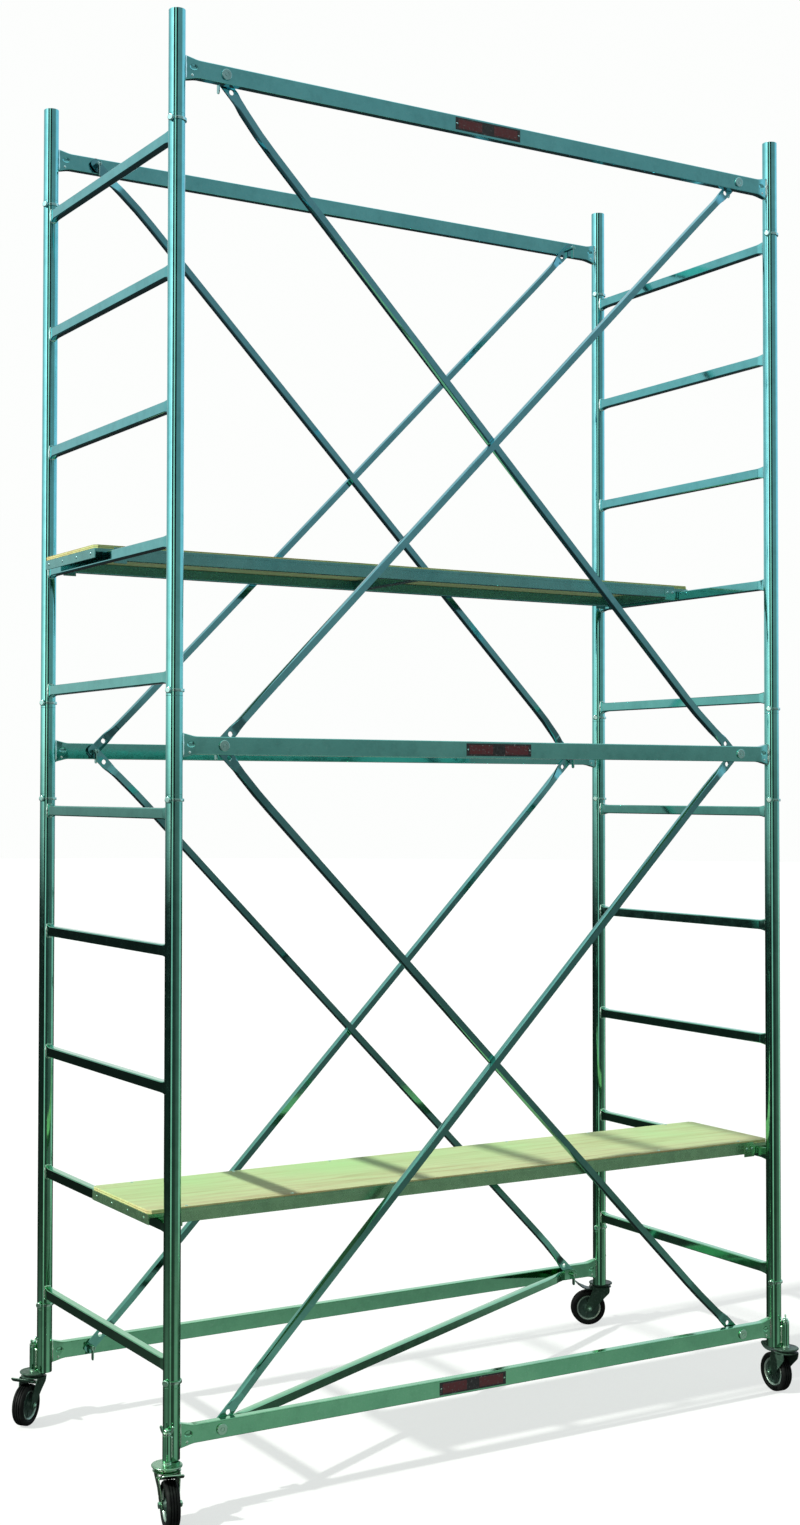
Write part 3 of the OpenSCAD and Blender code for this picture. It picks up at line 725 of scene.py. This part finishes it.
# ---------------------------------------------------------------- Latches
# A flat gravity tongue hangs in each pin's slot, so that the braces can't slide off. Both its ends are
# round, and the pin's rivet goes through it.
CORNERS = {"front_left": (-1, -1), "front_right": (1, -1), "rear_left": (-1, 1), "rear_right": (1, 1)}
LATCH_LENGTH, LATCH_HALF_W, LATCH_T = 0.026, 0.005, 0.003
for height_name, height in zip(("base", "middle", "top"), BEAM_Z):
    for corner, (sx, sy) in CORNERS.items():
        node_name = f"latch_{height_name}_{corner}"
        x = PIN_X[sx > 0]
        y = MIDDLE.y + sy * (BEAM_FACE - LATCH_PIVOT)
        tongue = block((LATCH_T, 2 * LATCH_HALF_W, LATCH_LENGTH), (x, y, height - LATCH_LENGTH / 2))
        for z in (height, height - LATCH_LENGTH):
            cut_out(tongue, [rod(LATCH_HALF_W, LATCH_T, (x, y, z), ALONG_X, 24)], "UNION")
        softened(tongue, 0.0006, 2)
        cut_out(tongue, [rod(0.0016, 0.01, (x, y, height), ALONG_X, 16)])
        painted(tongue, bright_zinc)
        tongue.name = f"{node_name}_tongue"
        fitted(tongue, node_name, "bright_zinc", node_name)

# ---------------------------------------------------------------- Ring pins and clips
# Sixteen slanted pins lock the ladder frames on the spigots. Each has a round domed head, and a spring
# strip with rounded edges clips round the front of the leg to hold it in.
RING_TURN = math.radians(30)
RING_FROM_END = 0.012                          # the pins' height inside each end of a ladder frame
RING_PIN_R, RING_HEAD_R, RING_HEAD_L = 0.005, 0.0075, 0.007
CLIP_INNER, CLIP_T, CLIP_H = LEG_R + 0.0005, 0.003, 0.007
CLIP_FROM, CLIP_SWEEP = math.radians(204), math.radians(-138)


def drawn(points, edges, faces):
    """A new piece from its own corners, edges and faces."""
    mesh = bpy.data.meshes.new("drawn")
    mesh.from_pydata(points, edges, faces)
    piece = bpy.data.objects.new("drawn", mesh)
    studio.collection.objects.link(piece)
    return alone(piece)


def swept_round(outline, sweep, steps, merge):
    """Sweeps an outline about the Z axis, and merges corners that meet."""
    alone(outline)
    bpy.ops.object.mode_set(mode="EDIT")
    bpy.ops.mesh.select_all(action="SELECT")
    bpy.ops.mesh.spin(steps=steps, angle=sweep, center=(0, 0, 0), axis=(0, 0, 1))
    bpy.ops.mesh.select_all(action="SELECT")
    bpy.ops.mesh.remove_doubles(threshold=merge)
    bpy.ops.object.mode_set(mode="OBJECT")
    return faced_outward(outline)


ring_shank = rod(RING_PIN_R, 2 * LEG_R + 0.009, (0.0035, 0, 0), ALONG_X, 24)
softened(ring_shank, 0.0010)
ring_head = rod(RING_HEAD_R, RING_HEAD_L, (-LEG_R - 0.001 - RING_HEAD_L / 2, 0, 0), ALONG_X, 32)
softened(ring_head, 0.0024, 4)
ring_pin = painted(joined("ring_pin", [ring_shank, ring_head]), bright_zinc)
clip_outer, clip_rise = CLIP_INNER + CLIP_T, CLIP_H / 2
clip = drawn([(CLIP_INNER, 0, -clip_rise), (clip_outer, 0, -clip_rise), (clip_outer, 0, clip_rise),
              (CLIP_INNER, 0, clip_rise)], [], [(0, 1, 2, 3)])
clip.rotation_euler = (0, 0, CLIP_FROM)
swept_round(settled(clip), CLIP_SWEEP, 20, 0.00001)
softened(clip, 0.0011, 2, 50)
painted(clip, bright_zinc)
pins_made, clips_made = [], []
for stage_name in ("lower", "upper"):
    low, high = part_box(f"{stage_name}_ladder_left")
    for z in (low.z + RING_FROM_END, high.z - RING_FROM_END):
        for x in LEG_X:
            for y in LEG_Y:
                pins_made.append(copied(ring_pin, (x, y, z), (0, 0, RING_TURN)))
                clips_made.append(copied(clip, (x, y, z), (0, 0, RING_TURN)))
fitted(joined("ring_pins_turned", pins_made), "tower", "bright_zinc", "ring_pins")
fitted(joined("ring_clips_sprung", clips_made), "tower", "bright_zinc", "ring_clips")
removed(ring_pin, clip)

# ---------------------------------------------------------------- Deck frames
# Each deck lies on a folded steel frame: two box rails, a cross member and an end saddle at each side that
# hooks over a ladder rung. Dome rivets hold the saddles, and small angle brackets tie the rails to them.
DECK_OVER_RUNG = 0.030                         # the deck's top, over the middle line of its rung
BOARD_T = 0.009
RAIL_DROP, RAIL_W, MEMBER_W = 0.005, 0.016, 0.030
RAIL_END_GAP = 0.018                           # a rail's end stops this far from the ladder's middle line
HOOK_PLAY, HOOK_T, SKIRT_DROP = 0.001, 0.003, 0.002
EDGE_LIP_T, EDGE_LIP_H = 0.0014, 0.0070        # the rail's lip holds most of the board's long edge
BRACKET = (0.034, 0.0024, 0.030)
SADDLE_RIVETS = (-0.42, -0.14, 0.14, 0.42)     # shares of the deck's width, from its middle


def face_from(outline, depth):
    """A plate cut to an outline in the XZ plane, with half its depth on each side of the plane."""
    plate = drawn([(x, -depth / 2, z) for x, z in outline], [], [tuple(range(len(outline)))])
    bpy.ops.object.mode_set(mode="EDIT")
    bpy.ops.mesh.select_all(action="SELECT")
    bpy.ops.mesh.extrude_region_move(TRANSFORM_OT_translate={"value": (0, depth, 0)})
    bpy.ops.object.mode_set(mode="OBJECT")
    return faced_outward(plate)


def dome(radius, rise, at, turn=(0, 0, 0)):
    return painted(ball((radius, radius, rise), at, turn, 16, 8), bright_zinc)


for stage_name in ("lower", "upper"):
    node_name = f"{stage_name}_deck_frame"
    low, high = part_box(node_name)
    middle_y, width = (low.y + high.y) / 2, high.y - low.y
    rung_z = low.z + RAIL_DROP
    board_bottom = rung_z + DECK_OVER_RUNG - BOARD_T
    rail_z, rail_h = (low.z + board_bottom) / 2, board_bottom - low.z
    rail_half = LEG_X[1] - MIDDLE.x - RAIL_END_GAP
    cross_bar = block((MEMBER_W, width - 2 * RAIL_W - 0.0004, rail_h), (MIDDLE.x, middle_y, rail_z))
    lip_z = board_bottom + EDGE_LIP_H / 2 - 0.002
    parts = []
    for y in (low.y + RAIL_W / 2, high.y - RAIL_W / 2):
        parts.append(softened(block((2 * rail_half, RAIL_W, rail_h), (MIDDLE.x, y, rail_z)), 0.0022, 3))
    for y in (low.y, high.y):
        edge_lip = block((2 * rail_half, EDGE_LIP_T, EDGE_LIP_H), (MIDDLE.x, y, lip_z))
        parts.append(softened(edge_lip, 0.0005, 2))
    parts.append(softened(cross_bar, 0.0022, 3))
    inner = LEG_X[1] - MIDDLE.x - RUNG_T / 2 - HOOK_PLAY
    saddle_end = high.x - MIDDLE.x
    rung_top = rung_z + RUNG_H / 2 + 0.0003
    outline = [
        (rail_half, low.z), (inner, low.z), (inner, rung_top), (saddle_end - HOOK_T, rung_top),
        (saddle_end - HOOK_T, rung_z - SKIRT_DROP), (saddle_end, rung_z - SKIRT_DROP),
        (saddle_end, board_bottom), (rail_half, board_bottom),
    ]
    saddle = softened(face_from(outline, width), 0.0010, 2)
    for part in parts + [saddle]:
        painted(part, galvanised_sheet)
    for end in (-1, 1):
        parts.append(copied(saddle, (MIDDLE.x, middle_y, 0), (0, 0, 0 if end > 0 else math.pi)))
        for share in SADDLE_RIVETS:
            spot = (MIDDLE.x + end * saddle_end, middle_y + share * width, rung_z + 0.010)
            parts.append(dome(0.0036, 0.0013, spot, ALONG_X))
        for y, way in ((low.y, -1), (high.y, 1)):
            bracket = block(BRACKET, (MIDDLE.x + end * (rail_half - 0.016), y + way * 0.0009, rung_z + 0.003))
            parts.append(painted(softened(bracket, 0.0008), galvanised_sheet))
            for step in (0.007, 0.025):
                spot = (MIDDLE.x + end * (rail_half - step), y + way * 0.0021, rung_z + 0.009)
                parts.append(dome(0.0034, 0.0014, spot, ALONG_Y))
    fitted(joined(f"{node_name}_folded", parts), f"{stage_name}_deck", "galvanised_sheet", node_name)
    removed(saddle)

# ---------------------------------------------------------------- Deck boards
# Each board is 9 mm plywood, with slow pale figure along its length, a greenish weathered bloom and worn,
# pinkish edges. Its cut edges show the plies, and steel rivets hold it down to the rails.
PLY_T = 0.00225                                # half the height of one ply and its glue line
NOTCH = 0.012                                  # side of the square that trims each corner of a board
RIVET_PITCH = 0.27


def plywood_material(name, edge):
    material, tree, shader = fresh_material(name)
    place = node_in(tree, "TexCoord")["Object"]
    grain = node_in(tree, "Mapping", {"Vector": place, "Scale": (1.6, 26.0, 26.0)})["Vector"]
    spot = node_in(tree, "SeparateXYZ", {0: place})
    figure, fibre = noise(tree, grain, 1.3, 5, warp=1.1), noise(tree, grain, 9, 6, 0.7)
    bloom = noise(tree, place, 2.6, 3)
    wood = levels(tree, figure, [
        (0.30, (0.44, 0.38, 0.20)), (0.47, (0.52, 0.54, 0.29)), (0.60, (0.55, 0.62, 0.34)),
        (0.75, (0.49, 0.45, 0.25)),
    ])
    streaks = levels(tree, fibre, [
        (0.30, (0.80, 0.78, 0.74)), (0.55, (1.0, 1.0, 1.0)), (0.80, (1.06, 1.05, 1.02)),
    ])
    colour = mixed(tree, "MULTIPLY", wood, streaks)
    green_share = levels(tree, bloom, [(0.36, 0.30), (0.62, 0.85)])
    off_middle = worked_out(tree, "ABSOLUTE", worked_out(tree, "SUBTRACT", spot["Y"], MIDDLE.y))
    not_worn_off = levels(tree, off_middle, [(0.06, 1.0), (0.29, 0.15)])
    green_left = worked_out(tree, "MULTIPLY", green_share, not_worn_off)
    colour = mixed(tree, "MIX", colour, (0.38, 0.68, 0.28, 1), green_left)
    if edge:
        layer = worked_out(tree, "DIVIDE", worked_out(tree, "PINGPONG", spot["Z"], PLY_T), PLY_T)
        plies = levels(tree, layer, [
            (0.0, (0.50, 0.30, 0.20)), (0.22, (0.62, 0.42, 0.30)), (0.34, (1.20, 1.02, 0.85)),
            (1.0, (1.35, 1.15, 1.00)),
        ])
        colour = mixed(tree, "MULTIPLY", colour, plies, 0.85)
    worn = node_in(tree, "MapRange", {"Value": fibre, "To Min": 0.48, "To Max": 0.78})["Result"]
    feed(tree, shader, {"Specular IOR Level": 0.30, "Base Color": colour, "Roughness": worn,
                        "Normal": raised(tree, fibre, 0.25, 0.0004)})
    return material


plywood = plywood_material("plywood", False)
plywood_edge = plywood_material("plywood_edge", True)
for stage_name in ("lower", "upper"):
    node_name = f"{stage_name}_deck_board"
    low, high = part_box(node_name)
    middle, size = (low + high) / 2, high - low
    board = block(size, middle)
    for x in (low.x, high.x):
        for y in (low.y, high.y):
            notch = block((NOTCH, NOTCH, 0.03), (x, y, middle.z))
            bpy.ops.transform.rotate(value=math.pi / 4, orient_axis="Z", center_override=(x, y, middle.z))
            cut_out(board, [notch])
    softened(board, 0.0009, 2)
    painted(board, plywood)
    board.data.materials.append(plywood_edge)
    for panel in board.data.polygons:
        if abs(panel.normal.z) < 0.6:
            panel.material_index = 1
    parts = [board]
    for share in range(-3, 4):
        for y in (low.y + RAIL_W / 2, high.y - RAIL_W / 2):
            parts.append(dome(0.0042, 0.0011, (middle.x + share * RIVET_PITCH, y, high.z)))
    fitted(joined(f"{node_name}_ply", parts), f"{stage_name}_deck", "plywood", node_name)

# ---------------------------------------------------------------- Caster stems
# Each caster hangs on a threaded stem in its stub tube. A collar bears on the stub, over the dished top
# plate of the swivel race, and the stem's end is riveted over inside the fork.
CASTER_TURNS = {"front_left": -105, "front_right": 85, "rear_left": 220, "rear_right": 155}
# Painted shade: a dark zinc stands in for the shade on the race plates, forks and pedals of all casters but
# the front left one, which keeps the lit pressed steel.
painted_shade_steel = zinc_material("painted_shade_steel", (0.045, 0.085, 0.075), (0.035, 0.075, 0.052), 0.65, 0.30, 0.1)
painted_shade_steel.node_tree.nodes["Principled BSDF"].inputs["Specular IOR Level"].default_value = 0.08
CASTER_SHADE_FINISH = {**dict.fromkeys(CORNERS, painted_shade_steel), "front_left": pressed_steel}
STEM_R, STEM_TOP, STEM_END = 0.007, 0.197, 0.105
RACE_LOW, RACE_HIGH = 0.118, 0.1235


def lathed(profile, steps=48):
    """Turns a closed profile of (radius, height) about the Z axis."""
    sides = [(i, (i + 1) % len(profile)) for i in range(len(profile))]
    off_axis = [(i, j) for i, j in sides if profile[i][0] or profile[j][0]]
    outline = drawn([(r, 0, z) for r, z in profile], off_axis, [])
    return swept_round(outline, 2 * math.pi, steps, 0.000005)


def threaded(radius, bottom, top, pitch=0.002):
    """A stem's outline with thread grooves, from its middle line outwards."""
    ring = [(0, bottom), (radius * 0.8, bottom)]
    turns = int((top - bottom - 0.002) / pitch)
    for turn in range(turns):
        z = bottom + 0.001 + turn * pitch
        ring += [(radius - 0.0010, z), (radius, z + 0.35 * pitch), (radius, z + 0.65 * pitch)]
    return lathed(ring + [(radius * 0.8, top), (0, top)], 28)


race = lathed([
    (0.006, RACE_LOW), (0.031, RACE_LOW), (0.0333, RACE_LOW + 0.0008), (0.034, RACE_LOW + 0.0022),
    (0.034, RACE_HIGH - 0.0022), (0.0330, RACE_HIGH - 0.0010), (0.0300, RACE_HIGH - 0.0004),
    (0.0270, RACE_HIGH - 0.0012), (0.0200, RACE_HIGH - 0.0010), (0.0140, RACE_HIGH), (0.006, RACE_HIGH),
])
collar = lathed([
    (0.006, RACE_HIGH - 0.001), (0.0112, RACE_HIGH - 0.001), (0.0100, RACE_HIGH + 0.0012),
    (0.0100, STUB_BOTTOM - 0.0008), (0.0092, STUB_BOTTOM), (0.006, STUB_BOTTOM),
], 36)
rivet_head = lathed([
    (0, STEM_END), (0.0085, STEM_END), (0.0105, STEM_END + 0.0010), (0.0110, STEM_END + 0.0024),
    (0.0108, STEM_END + 0.0035), (0, STEM_END + 0.0035),
], 32)
stem_parts = [race, collar, rivet_head, threaded(STEM_R, STEM_END + 0.002, STEM_TOP)]
for part in stem_parts:
    painted(part, bright_zinc)
stem = joined("stem", stem_parts[1:])
stems_made = []
for corner, (sx, sy) in CORNERS.items():
    stems_made.append(copied(stem, (STEM_X[sx > 0], STEM_Y[sy > 0], 0)))
    # The race plate takes its corner's zinc: lit on the front left, painted shade on the others.
    stems_made.append(painted(copied(race, (STEM_X[sx > 0], STEM_Y[sy > 0], 0)), CASTER_SHADE_FINISH[corner]))
fitted(joined("caster_stems_threaded", stems_made), "tower", "bright_zinc", "caster_stems")
removed(stem, race)

# ---------------------------------------------------------------- Wing nuts
# A cast wing nut above each stub clamps its stem: a round body with a chamfer, and two rounded wings that
# flare up and out across the line from leg to stub.
nut = lathed([
    (0.0066, STUB_TOP), (0.0094, STUB_TOP), (0.0100, STUB_TOP + 0.0010), (0.0098, STUB_TOP + 0.0050),
    (0.0084, STUB_TOP + 0.0078), (0.0066, STUB_TOP + 0.0080),
], 36)
nut_parts = [nut]
for flip in (0, 1):
    wing = face_from([
        (0.0080, STUB_TOP + 0.001), (0.0120, STUB_TOP + 0.0045), (0.0145, STUB_TOP + 0.009),
        (0.0168, STUB_TOP + 0.0165), (0.0162, STUB_TOP + 0.0192), (0.0140, STUB_TOP + 0.0200),
        (0.0112, STUB_TOP + 0.0190), (0.0085, STUB_TOP + 0.0110), (0.0070, STUB_TOP + 0.0070),
    ], 0.004)
    softened(wing, 0.0014, 3)
    wing.rotation_euler = (0, 0, math.pi * flip)
    nut_parts.append(settled(wing))
for part in nut_parts:
    painted(part, bright_zinc)
wing_nut = joined("wing_nut", nut_parts)
fitted(joined("wing_nuts_cast", [
    copied(wing_nut, (STEM_X[sx > 0], STEM_Y[sy > 0], 0), (0, 0, math.radians(-45 if sx == sy else 45)))
    for sx, sy in CORNERS.values()
]), "tower", "bright_zinc", "wing_nuts")
removed(wing_nut)

# ---------------------------------------------------------------- Caster forks
# Each fork is pressed from 3 mm plate: a round crown with a raised race, and two arms that lean in from the
# crown and run straight down past the wheel, each with a pressed stiffening groove. All but the front left
# one are given a darker zinc as painted shade.
FORK_TOP, PLATE_R, FORK_RACE_R, FORK_RACE_TOP = 0.112, 0.031, 0.024, 0.1176
ARM_INNER, ARM_OUTER, ARM_T, BEND_Z, BEND_TOP = 0.018, 0.026, 0.003, 0.074, 0.110
TRAIL, AXLE_Z, AXLE_R = 0.038, 0.050, 0.004
PEDAL_PIVOT = (0.020, 0.102)


def on_casters(whole, body, slot, node, ending, finishes=None):
    """Puts a copy of a piece that trails along +X on each caster, turned to its heading."""
    for corner, (sx, sy) in CORNERS.items():
        turn = (0, 0, math.radians(CASTER_TURNS[corner]))
        piece = copied(whole, (STEM_X[sx > 0], STEM_Y[sy > 0], 0), turn)
        if finishes:
            painted(piece, finishes[corner])
        piece.name = f"{node}_{corner}_{ending}"
        fitted(piece, f"{body}_{corner}", slot, f"{node}_{corner}")
    removed(whole)


arm_outline = [(-0.020, FORK_TOP - 0.0005), (0.026, FORK_TOP - 0.0005)]
for step in range(11):
    angle = math.radians(15 - step * 15.5)
    arm_outline.append((TRAIL + 0.012 * math.cos(angle), AXLE_Z + 0.012 * math.sin(angle)))
arm_outline += [(-0.020, FORK_TOP - 0.019), (-0.022, FORK_TOP - 0.013), (-0.022, FORK_TOP - 0.004)]
arm = face_from(arm_outline, ARM_T)
cut_across(arm, [0.062, BEND_Z, BEND_Z + 0.003, 0.086, 0.098, BEND_TOP - 0.001], axis=2)
softened(arm, 0.0008, 2)
groove = ball((0.0042, 0.0012, 0.024), (0.020, -ARM_T / 2 - 0.0002, 0.078), (0, math.radians(24), 0), 20, 12)
axle_hole = rod(AXLE_R, 0.02, (TRAIL, 0, AXLE_Z), ALONG_Y, 24)
pivot_hole = rod(0.0026, 0.02, (PEDAL_PIVOT[0], 0, PEDAL_PIVOT[1]), ALONG_Y, 20)
cut_out(arm, [groove, axle_hole, pivot_hole])
for corner in arm.data.vertices:
    lean_out = max(0.0, corner.co.z - BEND_Z) / (BEND_TOP - BEND_Z)
    corner.co.y -= ARM_INNER + ARM_T / 2 + lean_out * (ARM_OUTER - ARM_INNER - ARM_T)
other_arm = copied(arm)
for corner in other_arm.data.vertices:
    corner.co.y = -corner.co.y
other_arm.data.flip_normals()
crown = lathed([
    (STEM_R + 0.0002, FORK_TOP - 0.003), (PLATE_R - 0.0012, FORK_TOP - 0.003), (PLATE_R, FORK_TOP - 0.0019),
    (PLATE_R, FORK_TOP - 0.0009), (PLATE_R - 0.0012, FORK_TOP), (FORK_RACE_R + 0.0018, FORK_TOP + 0.0002),
    (FORK_RACE_R + 0.0004, FORK_TOP + 0.0012), (FORK_RACE_R, FORK_RACE_TOP - 0.0014),
    (FORK_RACE_R - 0.0012, FORK_RACE_TOP), (STEM_R + 0.0002, FORK_RACE_TOP),
])
fork = joined("fork", [arm, other_arm, crown])
on_casters(fork, "caster", "pressed_steel", "fork", "pressed", CASTER_SHADE_FINISH)

# ---------------------------------------------------------------- Tyres
# Solid black rubber tyres, moulded with rounded shoulders and three tread grooves. Dust greys the rubber
# where it rubs the floor.
HUB_R = 0.036


def rubber_material():
    material, tree, shader = fresh_material("rubber_tyre")
    place = node_in(tree, "TexCoord")["Object"]
    dust, scuffs = noise(tree, place, 45, 5), noise(tree, place, 420, 3)
    tone = levels(tree, dust, [
        (0.35, (0.004, 0.005, 0.005)), (0.60, (0.007, 0.009, 0.008)), (0.80, (0.020, 0.026, 0.022)),
    ])
    dull = node_in(tree, "MapRange", {"Value": dust, "To Min": 0.42, "To Max": 0.75})["Result"]
    feed(tree, shader, {"Specular IOR Level": 0.10, "Base Color": tone, "Roughness": dull,
                        "Normal": raised(tree, scuffs, 0.20, 0.0003)})
    return material


rubber_tyre = rubber_material()
half_tread = [
    (0.0500, 0.0014), (0.0500, 0.0048), (0.0476, 0.0052), (0.0476, 0.0072), (0.0499, 0.0076),
    (0.0498, 0.0094), (0.0492, 0.0112), (0.0474, 0.0136), (0.0450, 0.0148), (0.0425, 0.0150),
    (0.0398, 0.0150), (0.0385, 0.0146), (0.0372, 0.0128), (HUB_R, 0.0110),
]
tread = [(r, -a) for r, a in reversed(half_tread)] + [(0.0476, -0.0010), (0.0476, 0.0010)] + half_tread
tyre_ring = lathed(tread, 96)
tyre_ring.rotation_euler = ALONG_Y
tyre_ring.location = (TRAIL, 0, AXLE_Z)
painted(settled(tyre_ring), rubber_tyre)
on_casters(tyre_ring, "wheel", "rubber_tyre", "tyre", "moulded")

# ---------------------------------------------------------------- Wheel centres
# A dark green cast disc with a long round boss, webs between boss and rim, and a bare pale rim that holds
# the tyre.
cast_green = zinc_material("cast_green", (0.030, 0.075, 0.055), (0.030, 0.075, 0.055), 0.35, 0.42, 0.3)
bare_rim = zinc_material("bare_rim", (0.40, 0.55, 0.47), (0.36, 0.50, 0.42), 0.45, 0.32, 0.7)
RIM_FROM, WEB_COUNT = 0.0303, 5
disc = lathed([
    (AXLE_R + 0.0001, -0.017), (0.0100, -0.017), (0.0110, -0.0160), (0.0122, -0.0110), (0.0140, -0.0083),
    (0.0165, -0.0078), (0.0290, -0.0078), (0.0305, -0.0082), (0.0312, -0.0104), (0.0325, -0.0118),
    (0.0342, -0.0122), (HUB_R, -0.0110), (HUB_R, 0.0110), (0.0342, 0.0122), (0.0325, 0.0118),
    (0.0312, 0.0104), (0.0305, 0.0082), (0.0290, 0.0078), (0.0165, 0.0078), (0.0140, 0.0083),
    (0.0122, 0.0110), (0.0110, 0.0160), (0.0100, 0.017), (AXLE_R + 0.0001, 0.017),
], 72)
painted(disc, cast_green)
disc.data.materials.append(bare_rim)
for panel in disc.data.polygons:
    if math.hypot(panel.center.x, panel.center.y) > RIM_FROM:
        panel.material_index = 1
webs = []
for spoke in range(WEB_COUNT):
    for face in (-1, 1):
        web = block((0.0175, 0.0030, 0.0030), (0.0210, 0, face * 0.0083))
        stretched(web, lambda co: co.x > 0.025, (1, 0.8, 1))
        softened(web, 0.0010, 3)
        web.rotation_euler = (0, 0, 2 * math.pi * spoke / WEB_COUNT)
        webs.append(painted(settled(web), cast_green))
wheel_centre = joined("wheel_centre", [disc] + webs)
wheel_centre.rotation_euler = ALONG_Y
wheel_centre.location = (TRAIL, 0, AXLE_Z)
settled(wheel_centre)
on_casters(wheel_centre, "wheel", "wheel_centre", "hub", "cast")

# ---------------------------------------------------------------- Axle bolts
# An 8 mm bolt through each fork: hex head on one side, hex nut with the bolt's domed end on the other.
HEX_R, HEX_T = 0.0075, 0.005
arm_outside = ARM_INNER + ARM_T
bolt_parts = [rod(AXLE_R, 0.050, (TRAIL, 0, AXLE_Z), ALONG_Y, 28)]
for way in (-1, 1):
    at = (TRAIL, way * (arm_outside + HEX_T / 2), AXLE_Z)
    bolt_parts.append(softened(rod(HEX_R, HEX_T, at, ALONG_Y, 6), 0.0008, 2))
bolt_parts.append(ball((0.0039, 0.0022, 0.0039), (TRAIL, arm_outside + 0.0048, AXLE_Z), sides=20, rounds=10))
for part in bolt_parts:
    painted(part, bright_zinc)
on_casters(joined("axle_bolt", bolt_parts), "caster", "bright_zinc", "axle", "bolt")

# ---------------------------------------------------------------- Brake pedals
# A pressed pedal on a cross rod through the fork. It widens past the wheel to a tread with rounded corners
# and raised grip ribs, and pushes a shoe on the tyre when it is trodden down.
PEDAL_T = 0.003
stations = (                                   # along the pedal, its height and its half width
    (0.0200, 0.1040, 0.0165), (0.0300, 0.1048, 0.0170), (0.0360, 0.1052, 0.0172), (0.0405, 0.1057, 0.0205),
    (0.0470, 0.1080, 0.0250), (0.0530, 0.1102, 0.0260), (0.0585, 0.1124, 0.0260), (0.0660, 0.1177, 0.0258),
    (0.0705, 0.1209, 0.0240), (0.0728, 0.1225, 0.0200),
)
across = (-1.0, -0.8, -0.3, 0.3, 0.8, 1.0)
count = len(across)
pedal = drawn(
    [(x, half * share, z) for x, z, half in stations for share in across], [],
    [(row * count + i, row * count + i + 1, (row + 1) * count + i + 1, (row + 1) * count + i)
     for row in range(len(stations) - 1) for i in range(count - 1)])
thick = pedal.modifiers.new("plate", "SOLIDIFY")
thick.thickness = PEDAL_T
thick.offset = 0
applied(alone(pedal))
softened(pedal, 0.0009, 2, 50)
ribs = []
for x, z in ((0.0600, 0.1151), (0.0640, 0.1179), (0.0680, 0.1207)):
    rib = rod(0.0011, 0.036, (x, 0, z), ALONG_Y, 12)
    softened(rib, 0.0004, 1, 60)
    ribs.append(rib)
pivot_at = (PEDAL_PIVOT[0], 0, PEDAL_PIVOT[1])
pivot_tube = softened(rod(0.0045, 0.034, pivot_at, ALONG_Y, 24), 0.0006)
pivot_rod = softened(rod(0.0025, 0.055, pivot_at, ALONG_Y, 20), 0.0006)
pedal_whole = joined("pedal", [pedal, pivot_tube, pivot_rod] + ribs)
# All but the front left pedal get the dark zinc of painted shade.
on_casters(pedal_whole, "pedal", "pressed_steel", "brake_pedal", "pressed", CASTER_SHADE_FINISH)
